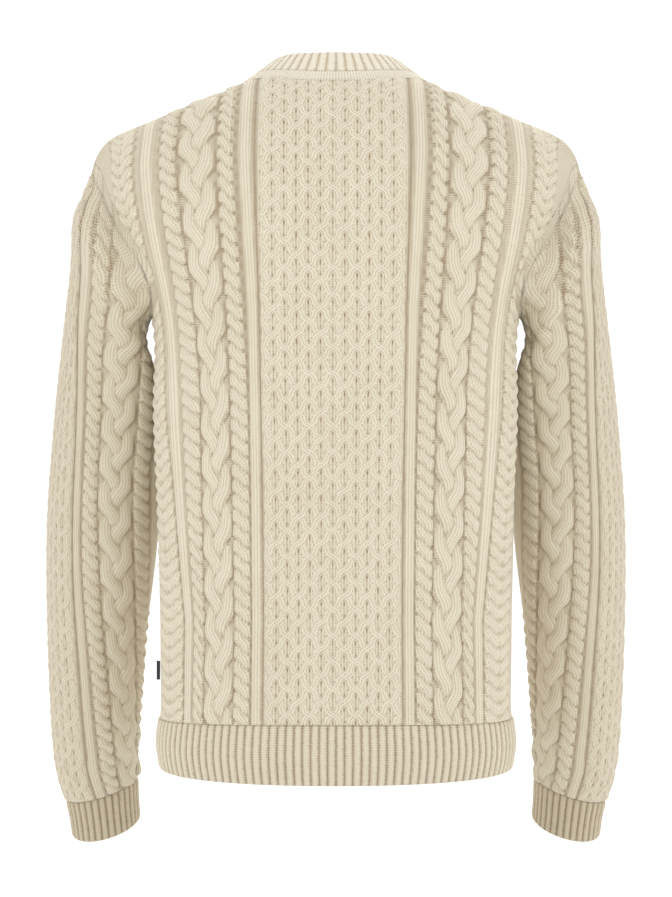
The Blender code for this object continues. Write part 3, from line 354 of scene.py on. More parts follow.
class Skin:
    """A smooth surface through sections, read by level and by the share of a section's length."""

    def __init__(self, levels: Array, sections: Array, closed: bool = False) -> None:
        """Fits natural cubic splines through the sections, point by point.

        Args:
            levels: the level of each section.
            sections: the points of each section.
            closed: whether a share is never mirrored.
        """
        self.levels = np.asarray(levels, float)
        self.sections = np.asarray(sections, float)
        self.closed = closed
        self.bend = self._spline_bend()
        self.table_levels = np.linspace(self.levels[0], self.levels[-1], LENGTH_LEVELS)
        lines = self.point(self.table_levels[:, None], np.linspace(0, 1, LENGTH_SAMPLES))
        self.table_lengths = np.linalg.norm(np.diff(lines, axis=-2), axis=-1).sum(-1)

    def _spline_bend(self) -> Array:
        """Solves the usual three-term equations of the splines.

        Returns:
            Their second derivatives, in the form of the sections.
        """
        steps = np.diff(self.levels)
        count = len(self.levels)
        matrix = np.eye(count)
        right = np.zeros_like(self.sections)
        for i in range(1, count - 1):
            matrix[i, i - 1:i + 2] = steps[i - 1], 2 * (steps[i - 1] + steps[i]), steps[i]
            rise = (self.sections[i + 1] - self.sections[i]) / steps[i]
            run = (self.sections[i] - self.sections[i - 1]) / steps[i - 1]
            right[i] = 6 * (rise - run)
        return np.linalg.solve(matrix, right.reshape(count, -1)).reshape(self.sections.shape)

    def point(self, level: Array, share: Array) -> Array:
        """The point at a level and a share of the half section.

        Between two sections at distances a and b it is the cubic spline's value, and along a section
        it lies straight between the two nearest of its points.

        Args:
            level: the levels.
            share: the shares of the half section's length. One below 0 mirrors x.

        Returns:
            The points, in the last axis.
        """
        level, share = np.broadcast_arrays(np.asarray(level, float), np.asarray(share, float))
        i = np.clip(np.searchsorted(self.levels, level) - 1, 0, len(self.levels) - 2)
        step = self.levels[i + 1] - self.levels[i]
        b = (level - self.levels[i]) / step
        a = 1 - b
        place = np.abs(share) * (self.sections.shape[1] - 1)
        j = np.clip(place.astype(int), 0, self.sections.shape[1] - 2)
        f = (place - j)[..., None]

        def across(values: Array, row: Array) -> Array:
            """The value part of the way between two points of a row."""
            return values[row, j] * (1 - f) + values[row, j + 1] * f

        curve_a = ((a ** 3 - a) * step ** 2 / 6)[..., None]
        curve_b = ((b ** 3 - b) * step ** 2 / 6)[..., None]
        points = (a[..., None] * across(self.sections, i) + b[..., None] * across(self.sections, i + 1)
                  + curve_a * across(self.bend, i) + curve_b * across(self.bend, i + 1))
        if not self.closed:
            points[..., 0] *= np.where(share < 0, -1, 1)
        return points

    def length(self, level: Array) -> Array:
        """The length of the half section at a level."""
        return np.interp(level, self.table_levels, self.table_lengths)


def evenly_spaced(points: Array, count: int) -> Array:
    """Spaces points evenly along a line.

    Args:
        points: the line's own points.
        count: how many are wanted.

    Returns:
        That many points, from the line's first to its last.
    """
    steps = np.linalg.norm(np.diff(points, axis=0), axis=1)
    place = np.concatenate(([0], np.cumsum(steps)))
    even = np.linspace(0, place[-1], count)
    return np.stack([np.interp(even, place, axis) for axis in points.T], 1)


def half_row(row: TorsoRow, middle: Middle, towards_front: int) -> Array:
    """A body row's cubic Bezier curve, from the middle of the panel out to the side line.

    Args:
        row: the row of the table.
        middle: its back or its front.
        towards_front: 1 where it turns forward to the side line, else -1.

    Returns:
        Its points, evenly spaced.
    """
    wrap, dip = math.radians(row.wrap), math.radians(row.dip)
    heading = np.array([math.cos(wrap) * math.cos(dip),
                        -towards_front * math.sin(wrap) * math.cos(dip), -math.sin(dip)])
    start = np.array([0, middle.y, middle.z])
    end = np.array([row.edge_x, row.edge_y, row.edge_z])
    first = start + np.array([middle.reach, 0, 0])
    second = end - heading * middle.edge_reach
    t = np.linspace(0, 1, CURVE_SAMPLES)[:, None]
    curve = ((1 - t) ** 3 * start + 3 * (1 - t) ** 2 * t * first
             + 3 * (1 - t) * t ** 2 * second + t ** 3 * end)
    return evenly_spaced(curve, ROW_SAMPLES)


def smooth_line(knots: Array, count: int) -> Array:
    """A smooth line through knots.

    Args:
        knots: the points it passes.
        count: how many points are wanted.

    Returns:
        Its points, evenly spaced.
    """
    knots = np.asarray(knots, float)
    place = np.concatenate(([0], np.cumsum(np.linalg.norm(np.diff(knots, axis=0), axis=1) ** 0.5)))
    line = Skin(place, knots[:, None, :].repeat(2, axis=1), closed=True)
    return evenly_spaced(line.point(np.linspace(0, place[-1], KNOT_SAMPLES * len(knots)), 0.0), count)


def ring_section(ring: SleeveRing, towards_back: int) -> Array:
    """Half of a sleeve ring, an ellipse from its outer line to its inner line.

    Args:
        ring: the row of the table.
        towards_back: 1 for the half round the back, or -1 for the front.

    Returns:
        Its points, evenly spaced.
    """
    middle = np.array([(ring.outer_x + ring.inner_x) / 2, ring.mid_y,
                       (ring.outer_z + ring.inner_z) / 2])
    outward = np.array([(ring.outer_x - ring.inner_x) / 2, 0, (ring.outer_z - ring.inner_z) / 2])
    pitch = math.radians(ring.pitch)
    backward = towards_back * ring.depth * np.array([0, math.cos(pitch), -math.sin(pitch)])
    angle = np.linspace(0, math.pi, CURVE_SAMPLES)[:, None]
    return evenly_spaced(middle + outward * np.cos(angle) + backward * np.sin(angle), ROW_SAMPLES)


class Torso:
    """The whole body as one sheet, from the back hem over the shoulders to the front hem."""

    def __init__(self) -> None:
        """Joins the rows of both panels at the shoulder ridge."""
        sections = [half_row(row, row.back, 1) for row in TORSO_ROWS]
        sections.append(smooth_line(RIDGE, ROW_SAMPLES))
        sections += [half_row(row, row.front, -1) for row in reversed(TORSO_ROWS)]
        middle = np.array([section[0] for section in sections])
        levels = np.concatenate(([0], np.cumsum(np.linalg.norm(np.diff(middle, axis=0), axis=1))))
        self.skin = Skin(levels, sections)
        self.ridge = self.skin.levels[len(TORSO_ROWS)]
        self.top = self.skin.levels[-1]


class Side(Enum):
    """The two panels of the body, with the sign that turns a surface's direction outwards."""

    BACK = -1
    FRONT = 1


@dataclass
class Panel:
    """The back or the front of the body, read by its own height above its hem."""

    torso: Torso
    side: Side
    height: float = field(init=False)
    hem_seam: float = field(init=False)
    underarm: float = field(init=False)
    neck_drop: float = field(init=False)

    def __post_init__(self) -> None:
        """Works out the panel's own heights."""
        levels = self.torso.skin.levels
        front = self.side is Side.FRONT
        self.height = self.torso.top - self.torso.ridge if front else self.torso.ridge
        rows = (self.torso.top - levels)[::-1] if front else levels
        self.hem_seam = rows[HEM_SEAM_ROW]
        self.underarm = rows[UNDERARM_ROW]
        self.neck_drop = NECK_DROP_FRONT if front else NECK_DROP_BACK

    @property
    def outward(self) -> int:
        """The sign that turns the surface's direction outwards."""
        return self.side.value

    def level(self, height: Array) -> Array:
        """The torso's level at a height of this panel."""
        return self.torso.top - height if self.side is Side.FRONT else height

    def length(self, height: Array) -> Array:
        """From the middle of the panel to the side line."""
        return self.torso.skin.length(self.level(height))

    def point(self, across: Array, height: Array) -> Array:
        """The point at a distance across from the middle, and a height."""
        return self.torso.skin.point(self.level(height), across / self.length(height))

    def armhole(self, into_hole: float) -> Array:
        """The armhole's line, from the shoulder down.

        Args:
            into_hole: how far it is moved into the armhole, square to itself.

        Returns:
            (across, height) of its points, at even steps along the cloth.
        """
        knots = []
        for spot in ARMHOLE:
            height = self.underarm + spot.rise / ARMHOLE[-1].rise * (self.height - self.underarm)
            cut = spot.front_cut if self.side is Side.FRONT else spot.back_cut
            knots.append((self.length(height) - cut, height))
        line = smooth_line(np.array(knots), ARMHOLE_SAMPLES)
        run = np.gradient(line, axis=0)
        run /= np.linalg.norm(run, axis=1)[:, None]
        line = (line + into_hole * np.stack([run[:, 1], -run[:, 0]], 1))[::-1]
        steps = np.linalg.norm(np.diff(self.point(line[:, 0], line[:, 1]), axis=0), axis=1)
        place = np.concatenate(([0], np.cumsum(steps)))
        even = np.linspace(0, place[-1], ROW_SAMPLES)
        return np.stack([np.interp(even, place, axis) for axis in line.T], 1)

    def neck(self, into_hole: float, count: int) -> Array:
        """The neck seam, half an ellipse from its -X end to its +X end.

        Args:
            into_hole: how far it is moved into the neck's opening.
            count: how many points are wanted.

        Returns:
            (across, height) of its points.
        """
        angle = np.linspace(-math.pi / 2, math.pi / 2, count)
        across = (NECK_HALF_WIDTH - into_hole) * np.sin(angle)
        return np.stack([across, self.height - (self.neck_drop - into_hole) * np.cos(angle)], 1)

    def edge(self) -> Array:
        """The panel's whole edge: hem, side, armhole, shoulder, neck and back down.

        Returns:
            (across, height) of the loop's points, in order.
        """
        heights = np.linspace(self.hem_seam + SEAM_GAP / 2, self.underarm - SEAM_GAP / 2, SIDE_SAMPLES)
        side = np.stack([self.length(heights) - SEAM_GAP / 2, heights], 1)
        armhole = self.armhole(-SEAM_GAP / 2)[::-1]
        top = self.height - SEAM_GAP / 2
        armhole[:, 0] = np.minimum(armhole[:, 0], self.length(armhole[:, 1]) - SEAM_GAP / 2)
        armhole[:, 1] = np.minimum(armhole[:, 1], top)
        neck = self.neck(-SEAM_GAP / 2, NECK_SAMPLES)
        neck[:, 1] = np.minimum(neck[:, 1], top)
        left = np.concatenate([side[:-1], armhole])
        right = left[::-1] * [-1, 1]
        return np.concatenate([left, neck[::-1], right])


class SleeveTube:
    """The left sleeve and its cuff as a tube, read by the way down from the armhole seam.

    across runs from the outer line, plus round the back and minus round the front.
    """

    outward = -1

    def __init__(self, back: Panel, front: Panel) -> None:
        """Carries the armhole's own line through the rings down to the cuff.

        Args:
            back: the back panel.
            front: the front panel.
        """
        halves = []
        for panel, side in ((back, 1), (front, -1)):
            half = []
            for reach in (SEAM_GAP / 2, ARMHOLE_TURN):
                edge = panel.armhole(reach)
                half.append(panel.point(edge[:, 0], edge[:, 1]))
            half += [ring_section(ring, side) for ring in SLEEVE_RINGS + CUFF_RINGS]
            halves.append(np.array(half))
        for end in (0, -1):
            shared = (halves[0][:, end] + halves[1][:, end]) / 2
            halves[0][:, end] = halves[1][:, end] = shared
        steps = [np.linalg.norm(np.diff(half, axis=0), axis=2).mean(axis=1) for half in halves]
        levels = np.concatenate(([0], np.cumsum((steps[0] + steps[1]) / 2)))
        self.back = Skin(levels, halves[0], closed=True)
        self.front = Skin(levels, halves[1], closed=True)
        self.cuff_seam = levels[1 + len(SLEEVE_RINGS)]
        self.end = levels[-1]

    def length(self, level: Array, front: bool) -> Array:
        """From the outer line to the inner line, round one side."""
        return (self.front if front else self.back).length(level)

    def point(self, across: Array, level: Array) -> Array:
        """The point at a distance across and a level. Past the inner line it goes on round the tube.

        Args:
            across: the distances from the outer line.
            level: the ways down from the armhole seam.

        Returns:
            The points, in the last axis.
        """
        across, level = np.broadcast_arrays(np.asarray(across, float), np.asarray(level, float))
        back, front = self.length(level, False), self.length(level, True)
        across = np.where(across > back, across - back - front, across)
        across = np.where(across < -front, across + back + front, across)
        on_back = self.back.point(level, across / back)
        on_front = self.front.point(level, across / front)
        return np.where((across >= 0)[..., None], on_back, on_front)

    def edge(self) -> Array:
        """The sleeve's edge, cut along its inner line.

        Returns:
            (across, level) of the loop's points, in order.
        """
        levels = np.linspace(0, self.cuff_seam - SEAM_GAP, SEAM_SAMPLES)
        back = np.stack([self.length(levels, False), levels], 1)
        front = np.stack([-self.length(levels, True), levels], 1)[::-1]
        return np.concatenate([back, front])


class SleeveGrain:
    """The straight grain of the sleeve's knitting, along a line through its middle.

    The line follows the rings and then leans straight in under the shoulder, as knitted courses do,
    while the armhole seam cuts across them.
    """

    def __init__(self, tube: SleeveTube) -> None:
        """Smooths the line and takes the directions across it.

        Args:
            tube: the sleeve that is knitted along it.
        """
        middles = [((ring.outer_x + ring.inner_x) / 2, ring.mid_y, (ring.outer_z + ring.inner_z) / 2)
                   for ring in SLEEVE_RINGS[GRAIN_FIRST_RING:] + CUFF_RINGS]
        knots = np.array(list(GRAIN_TOP) + middles, float)
        knots = np.concatenate([knots, [3 * knots[-1] - 2 * knots[-2]]])
        line = evenly_spaced(knots, CURVE_SAMPLES)
        window = np.hanning(GRAIN_WINDOW)
        reach = len(window) // 2
        padded = np.pad(line, ((reach, reach), (0, 0)), mode="reflect", reflect_type="odd")
        self.line = np.stack([np.convolve(axis, window / window.sum(), "valid") for axis in padded.T], 1)
        place = np.concatenate(([0], np.cumsum(np.linalg.norm(np.diff(self.line, axis=0), axis=1))))
        first = np.abs(self.line[:, 2] - middles[0][2]).argmin()
        self.courses = place - place[first] + GRAIN_START
        self.down = np.gradient(self.line, axis=0)
        self.down /= np.linalg.norm(self.down, axis=1)[:, None]
        self.out = np.array([1.0, 0, 0]) - self.down * self.down[:, :1]
        self.out /= np.linalg.norm(self.out, axis=1)[:, None]
        self.back = -np.cross(self.down, self.out)
        self.tube = tube

    def half(self, course: Array) -> Array:
        """Half the way round the sleeve at a course."""
        return self.tube.length(np.clip(course, GRAIN_HEAD, self.tube.end), False)

    def read(self, points: Array) -> tuple[Array, Array]:
        """Where points lie in the sleeve's knitting.

        The course is found by stepping along the line by what is left over, again and again.

        Args:
            points: the points, in the last axis.

        Returns:
            The way round from the outer line, and the way down, at each of them.
        """
        flat = points.reshape(-1, 3)
        course = np.interp(flat[:, 2], self.line[::-1, 2], self.courses[::-1])

        def at(values: Array) -> Array:
            """The line's values at the courses found so far."""
            return np.stack([np.interp(course, self.courses, axis) for axis in values.T], 1)

        for _ in range(GRAIN_STEPS):
            course = course + ((flat - at(self.line)) * at(self.down)).sum(1)
        away = flat - at(self.line)
        turn = np.arctan2((away * at(self.back)).sum(1), (away * at(self.out)).sum(1))
        around = turn / math.pi * self.half(course)
        return around.reshape(points.shape[:-1]), course.reshape(points.shape[:-1])


class NeckBand:
    """The binding and the neck rib as one closed band, read by height above the neck seam.

    across counts ribs from the wearer's right shoulder, round the back.
    """

    ribs = NECK_RIBS_BACK + NECK_RIBS_FRONT
    outward = -1
    samples = 6  # for each rib

    def __init__(self, back: Panel, front: Panel) -> None:
        """Leans the band in over the shoulders from the neck seam, and stands it up.

        Args:
            back: the back panel.
            front: the front panel.
        """
        seams = []
        for panel, ribs in ((back, NECK_RIBS_BACK), (front, NECK_RIBS_FRONT)):
            line = panel.neck(SEAM_GAP / 2, ribs * self.samples + 1)
            seams.append(panel.point(line[:, 0], line[:, 1]))
        seam = np.concatenate([seams[0][:-1], seams[1][::-1]])
        quarter = math.pi / 2
        turn = np.concatenate([
            np.linspace(-quarter, quarter, NECK_RIBS_BACK * self.samples + 1)[:-1],
            np.linspace(quarter, 3 * quarter, NECK_RIBS_FRONT * self.samples + 1)])
        lengthwise = np.cos(turn) ** 2
        end_rise = np.where(np.cos(turn) > 0, COLLAR_RISE_BACK, COLLAR_RISE_FRONT)
        top = seam * [COLLAR_SPREAD, COLLAR_REACH, 1]
        top[:, 1] += NECK_MIDDLE_Y * (1 - COLLAR_REACH)
        top[:, 2] += COLLAR_RISE_SIDE + (end_rise - COLLAR_RISE_SIDE) * lengthwise
        share = BINDING_WIDTH / (BINDING_WIDTH + COLLAR_WIDTH)
        levels = (0, BINDING_WIDTH, BINDING_WIDTH + COLLAR_WIDTH)
        self.skin = Skin(levels, [seam, seam + share * (top - seam), top], closed=True)

    def point(self, across: Array, height: Array) -> Array:
        """The point at a count of ribs and a height."""
        return self.skin.point(height, np.mod(across, self.ribs) / self.ribs)


# ------------------------------------------------------------------------------ the knit


class Relief(NamedTuple):
    """What the knitting does at a set of places."""

    height: Array  # above the plain ground
    stitch: Array  # (column, course) in stitches, for each layer
    layer: Array  # the layer that lies on top
    purl: Array  # 1 where the purl side shows
    eye: Array  # how dark the middle of a comb's eye is: its slit, and painted shade near its tips


@dataclass(frozen=True)
class CableChart:
    """The cables of a panel, knitted from one chart.

    lean is 1 where across grows to the right as the panel is looked at, else -1. upward is 1 where
    height grows up the garment.
    """

    rows: tuple[ChartRow, ...]
    shift: float
    lean: int
    upward: int
    comb_repeat: float = 24.8
    comb_cells: int = 6
    comb_least: float = 56.0  # a narrower comb is cut off at its sides
    comb_top: float = 3.0
    comb_crest: float = 1.1
    comb_half: float = 0.33  # half a strand's width, as a share of a cell's
    comb_swing: float = 0.75
    comb_lift: float = 0.35
    comb_bed: float = 1.7
    comb_hump: float = 0.35  # how much the bed of an eye rises from its middle to its sides
    comb_phase: float = 6.6
    comb_stitches: int = 4  # in a cell
    comb_margin: float = 1.0  # how far strands may stand out past the edges of their cable
    cable_margin: float = 0.5
    eye_top: float = 0.40  # where the painted shade at an eye's tip is darkest, in half repeats above its middle
    eye_top_reach: float = 0.2
    eye_foot: float = -0.52
    eye_foot_reach: float = 0.1
    rope_pitch: float = 14.4
    rope_crest: float = 3.0
    rope_half: float = 0.365  # half a strand's width and the swing of its middle, as shares of the rope's
    rope_swing: float = 0.235
    rope_snap: float = 0.2  # how much quicker its strands cross than they run on
    rope_lift: float = 1.8
    rope_top: float = 4.4
    plait_repeat: float = 38.7
    plait_crest: float = 3.2
    plait_half: float = 0.225
    plait_swing: float = 0.32
    plait_snap: float = 0.5
    plait_lift: float = 2.4
    plait_top: float = 5.2
    plait_phase: float = 16.6
    wheat_pitch: float = 13.4
    wheat_top: float = 3.8
    wheat_lift: float = 1.5
    wheat_margin: float = 0.3
    rib_top: float = 1.9
    rib_margin: float = 0.4
    rib_power: int = 6  # the greater, the flatter the rib's top
    rib_span: float = 1.2  # how far out it is followed, in half widths
    rib_stitches: int = 3
    profile: float = 3.0

    def place(self, name: str, height: Array) -> Array:
        """The distance across at which a cable's edge lies, at a height."""
        return np.interp(height, [row.height for row in self.rows],
                         [getattr(row, name) for row in self.rows])

    def strand(self, offset: Array, slope: Array, up: Array, half_width: Array, top: Array,
               crest: float) -> Strand:
        """A strand's level and its own stitch places, from the offset to its middle line.

        The level is top less crest times the distance square to the strand over half its width, to the
        power of profile. Columns are counted square to the strand and courses along it.

        Args:
            offset: how far to the right of its middle line a place lies.
            slope: how steeply that line runs to the side.
            up: the way up.
            half_width: half the strand's width.
            top: the level of its middle line.
            crest: how much lower its sides are.

        Returns:
            The strand.
        """
        turn = 1 / np.sqrt(1 + slope ** 2)
        height = top - crest * np.abs(offset * turn / half_width) ** self.profile
        column = offset * turn / STITCH_WIDTH
        course = (up / turn.mean() + offset * slope * turn) / STITCH_HEIGHT
        return height, column, course

    def rope(self, right: Array, up: Array, width: Array, pitch: float, top: float, lift: float,
             hand: int) -> list[Strand]:
        """Two strands round each other: middle lines at minus and plus the swing times a cosine.

        Args:
            right: how far to the right of the rope's middle a place lies.
            up: the way up.
            width: the rope's width.
            pitch: the way up in which the strands change sides, half a turn.
            top: the level of a strand that lies on top.
            lift: how much lower it is at the sides.
            hand: 1 where the strand on top runs down to the right, else -1.

        Returns:
            The strands.
        """
        strands = []
        half_width, swing = self.rope_half * width, self.rope_swing * width
        for phase in (0.0, math.pi):
            turn = -math.pi * up / pitch + phase
            path = turn - self.rope_snap / 2 * np.sin(2 * turn)
            middle = -hand * swing * np.cos(path)
            slope = (-hand * swing * np.sin(path) * (1 - self.rope_snap * np.cos(2 * turn))
                     * math.pi / pitch)
            level = top + lift * (np.sin(turn) - 1)
            strands.append(self.strand(right - middle, slope, up, half_width, level,
                                       self.rope_crest))
        return strands

    def plait(self, right: Array, up: Array, width: Array) -> list[Strand]:
        """Three strands: middle lines at a cosine, levels at the sine of twice its angle.

        Args:
            right: how far to the right of the plait's middle a place lies.
            up: the way up.
            width: the plait's width.

        Returns:
            The strands.
        """
        strands = []
        half_width, swing = self.plait_half * width, self.plait_swing * width
        whole = 3 * self.plait_repeat
        for phase in (0.0, 2 * math.pi / 3, 4 * math.pi / 3):
            turn = -2 * math.pi * (up + self.plait_phase) / whole + phase
            path = turn - self.plait_snap / 4 * np.sin(4 * turn)
            middle = swing * np.cos(path)
            slope = (swing * np.sin(path) * (1 - self.plait_snap * np.cos(4 * turn))
                     * 2 * math.pi / whole)
            level = self.plait_top + self.plait_lift * (np.sin(2 * turn) - 1)
            strands.append(self.strand(right - middle, slope, up, half_width, level,
                                       self.plait_crest))
        return strands

    def comb(self, right: Array, up: Array, half: Array) -> list[Strand]:
        """Strands in a lattice that step sideways where they cross, each over and then under.

        In steps of one cell, a strand lies at the course, plus or minus a share of its sine, so that it
        stands nearly upright between two crossings. Its level is a cosine of the course.

        Args:
            right: how far to the right of the comb's middle a place lies.
            up: the way up.
            half: half the comb's width.

        Returns:
            First the plain knitting in the eyes, with a groove down the middle of each, and then the
            strands that lean to either hand.
        """
        step = np.maximum(half, self.comb_least) / self.comb_cells
        course = (up + self.comb_phase) / (self.comb_repeat / 2)
        away = (right / step - np.round(right / step)) * step
        bed = self.comb_bed + self.comb_hump * (away / step * 2) ** 2
        strands = [(bed, right / step * self.comb_stitches, up / STITCH_HEIGHT)]
        for hand in (1, -1):
            bend = hand * (course + self.comb_swing * np.sin(2 * math.pi * course) / (2 * math.pi))
            cells = (right / step - bend) / 2
            offset = 2 * step * (cells - np.round(cells))
            slope = (hand * step * (1 + self.comb_swing * np.cos(2 * math.pi * course))
                     / (self.comb_repeat / 2))
            level = self.comb_top - hand * self.comb_lift * np.cos(math.pi * course)
            strands.append(self.strand(offset, slope, up, self.comb_half * step, level,
                                       self.comb_crest))
        return strands

    def eyes(self, right: Array, up: Array, half: Array) -> Array:
        """How dark the middle line of an eye is: a share all along it for its slit, and more near its tips,
        as painted shade where the crossing strands overhang it.

        Args:
            right: how far to the right of the comb's middle a place lies.
            up: the way up.
            half: half the comb's width.

        Returns:
            That share, up to 1.
        """
        column = np.round(right / np.maximum(half, self.comb_least) * self.comb_cells)
        rise = np.mod((up + self.comb_phase) / (self.comb_repeat / 2) - column, 2) - 1
        return (EYE_LINE + (1 - EYE_LINE) * np.exp(-((rise - self.eye_top) / self.eye_top_reach) ** 2)
                + (1 - EYE_LINE) * np.exp(-((rise - self.eye_foot) / self.eye_foot_reach) ** 2))

    def relief(self, across: Array, height: Array, knitted: Array) -> Relief:
        """The knitting at places on the panel: the highest of all strands, ribs and the ground.

        Args:
            across: the distance from the middle.
            height: the height in the chart.
            knitted: how far along the cloth the place is knitted.

        Returns:
            What the knitting does there.
        """
        right = self.lean * (across - self.shift)
        up = self.upward * knitted
        side = np.where(right < 0, -1, 1)
        out = np.abs(right)
        layers = [(np.zeros_like(out), right / STITCH_WIDTH, up / STITCH_HEIGHT)]

        def add(strands: list[Strand], inside: Array) -> None:
            """Lays strands over the ground, inside their cable."""
            for level, column, course in strands:
                layers.append((np.where(inside, level, BELOW_ALL), column, course))

        at = {name: self.place(name, height) for name in ChartRow._fields[1:]}
        add(self.comb(right, up, at["comb"]), out <= at["comb"] + self.comb_margin)
        for name in ("rope_a", "rope_b", "plait"):
            start, end = at[name + "_in"], at[name + "_out"]
            inner = right - side * (start + end) / 2
            if name == "plait":
                strands = self.plait(inner, up, end - start)
            else:
                strands = self.rope(inner, up, end - start, self.rope_pitch, self.rope_top,
                                    self.rope_lift, 1)
            add(strands, (out >= start - self.cable_margin) & (out <= end + self.cable_margin))
        start, end = at["wheat_in"], at["wheat_out"]
        width, middle = (end - start) / 2, side * (start + end) / 2
        for hand in (1, -1):
            local = right - middle + hand * width / 2
            strands = self.rope(local, up, width, self.wheat_pitch, self.wheat_top, self.wheat_lift,
                                hand)
            add(strands, (np.abs(local) <= width / 2 + self.wheat_margin)
                & (out >= start) & (out <= end))
        for name in ("rib_a", "rib_b"):
            start, end = at[name + "_in"], at[name + "_out"]
            share = (out - (start + end) / 2) / ((end - start) / 2 + self.rib_margin)
            level = self.rib_top * (1 - np.abs(share) ** self.rib_power)
            columns = (out - start) / ((end - start) / self.rib_stitches)
            add([(level, columns, up / STITCH_HEIGHT)], np.abs(share) < self.rib_span)
        heights = np.array([layer[0] for layer in layers])
        stitch = np.array([np.stack([layer[1], layer[2]], -1) for layer in layers])
        top = heights.argmax(0)
        eye = np.where(top == 1, self.eyes(right, up, at["comb"]), 0.0)
        return Relief(heights.max(0), stitch, top, np.where(top == 0, 1.0, 0.0), eye)

    @staticmethod
    def columns(places: Array, limit: float, cell: float) -> Array:
        """Distances out from the middle, a fixed number in each cable, that follow its edges.

        Args:
            places: where each edge lies, one row for each row of the grid.
            limit: how far out the grid has to reach.
            cell: the distance to aim for.

        Returns:
            The distances, one row for each row of the grid.
        """
        ends = np.maximum(places[:, -1:] + cell, limit)
        places = np.concatenate([np.zeros_like(ends), places, ends], axis=1)
        spans = []
        for start, end in zip(places.T, places.T[1:]):
            if start.min() > limit:
                break
            count = max(2, round(float(np.median(end - start)) / cell))
            spans.append(start[:, None] + (end - start)[:, None] * np.arange(count) / count)
        return np.concatenate(spans, axis=1)


# ------------------------------------------------------------------------------ cloth meshes


class Cut(NamedTuple):
    """A grid cut out along an edge."""

    places: Array  # (across, height) of its points
    to_edge: Array  # how far inside the edge each of them lies
    quads: Array
    corners: Array  # the triangles where the edge crosses a square
    border: Array  # its points on the edge, in order along it
    border_place: Array
    numbers: Array  # which points of the grid they are


def cut_out(grid: Array, edge: Array, reach: float) -> Cut:
    """Cuts a grid of places along a closed edge and moves the points beside the edge onto it.

    Args:
        grid: rows of (across, height).
        edge: the loop, in order.
        reach: how near to the edge a point has to lie to be moved onto it.

    Returns:
        The cut grid. A square with all its corners inside stays whole, and one with three of them
        becomes a triangle.
    """
    rows, columns = grid.shape[:2]
    spots = grid.reshape(-1, 2)
    nearest = np.full(len(spots), np.inf)
    place = np.zeros(len(spots))
    onto = np.zeros_like(spots)
    inside = np.zeros(len(spots), bool)
    gone = 0.0
    for start, end in zip(edge, np.roll(edge, -1, axis=0)):
        run = end - start
        long = float(np.hypot(*run))
        if long < TINY:
            continue
        share = np.clip(((spots - start) @ run) / long ** 2, 0, 1)
        spot = start + share[:, None] * run
        away = np.hypot(spots[:, 0] - spot[:, 0], spots[:, 1] - spot[:, 1])
        nearer = away < nearest
        nearest[nearer] = away[nearer]
        place[nearer] = gone + share[nearer] * long
        onto[nearer] = spot[nearer]
        gone += long
        if run[1]:
            at = start[0] + (spots[:, 1] - start[1]) * run[0] / run[1]
            inside ^= ((start[1] > spots[:, 1]) != (end[1] > spots[:, 1])) & (spots[:, 0] < at)
    moved = nearest < reach
    kept = inside | moved
    spots = np.where(moved[:, None], onto, spots)
    number = np.arange(rows * columns).reshape(rows, columns)
    squares = np.stack([number[:-1, :-1], number[:-1, 1:], number[1:, 1:], number[1:, :-1]],
                       -1).reshape(-1, 4)
    whole = kept[squares]
    quads = squares[whole.all(1)]
    three = squares[whole.sum(1) == 3]
    missing = (~kept[three]).argmax(1)
    order = (missing[:, None] + np.arange(1, 4)) % 4
    corners = np.take_along_axis(three, order, 1)
    sides = np.concatenate([quads[:, [i, (i + 1) % 4]] for i in range(4)]
                           + [corners[:, [i, (i + 1) % 3]] for i in range(3)])
    ends = np.sort(sides, 1)
    codes, counts = np.unique(ends[:, 0] * rows * columns + ends[:, 1], return_counts=True)
    once = codes[counts == 1]
    border = np.unique(np.concatenate([once // (rows * columns), once % (rows * columns)]))
    used = np.unique(np.concatenate([quads.ravel(), corners.ravel()]))
    new = np.full(rows * columns, -1)
    new[used] = np.arange(len(used))
    border = border[np.argsort(place[border], kind="stable")]
    return Cut(spots[used], np.where(moved, 0, nearest)[used], new[quads], new[corners],
               new[border], place[border], used)


def zip_rim(outer: Array, outer_place: Array, inner: Array, inner_place: Array) -> Array:
    """Triangles between two closed lines of points, each in order along the same edge.

    Both lines are merged by their places, and each point closes a triangle with the last point before
    it on either line.

    Args:
        outer: the numbers of the outer line's points.
        outer_place: how far along the edge each of them lies.
        inner: the numbers of the inner line's points.
        inner_place: how far along the edge each of them lies.

    Returns:
        The triangles, as numbers of points.
    """
    numbers = np.concatenate([outer, inner])
    places = np.concatenate([outer_place, inner_place])
    is_outer = np.arange(len(numbers)) < len(outer)
    order = np.argsort(places, kind="stable")
    numbers, is_outer = numbers[order], is_outer[order]
    index = np.arange(len(numbers))
    last_outer = np.maximum.accumulate(np.where(is_outer, index, -1))
    last_inner = np.maximum.accumulate(np.where(is_outer, -1, index))
    before_outer, before_inner = np.roll(last_outer, 1), np.roll(last_inner, 1)
    before_outer[before_outer < 0] = last_outer[-1]
    before_inner[before_inner < 0] = last_inner[-1]
    before_outer[0], before_inner[0] = last_outer[-1], last_inner[-1]
    return np.stack([numbers[before_outer], numbers[before_inner], numbers], 1)


def displaced(point: Callable[[Array, Array], Array], outward: int, across: Array, height: Array,
              relief: Array) -> Array:
    """Points of a surface moved out along its own direction, by the relief.

    The direction is the cross product of the steps across and up the surface.

    Args:
        point: the surface.
        outward: the sign that turns its direction outwards.
        across: the places' distances across.
        height: their heights.
        relief: how far each of them is moved out.

    Returns:
        The moved points, in the last axis.
    """
    run = point(across + PROBE, height) - point(across - PROBE, height)
    rise = point(across, height + PROBE) - point(across, height - PROBE)
    normal = outward * np.cross(run, rise)
    normal /= np.linalg.norm(normal, axis=-1)[..., None]
    return point(across, height) + normal * np.asarray(relief)[..., None]


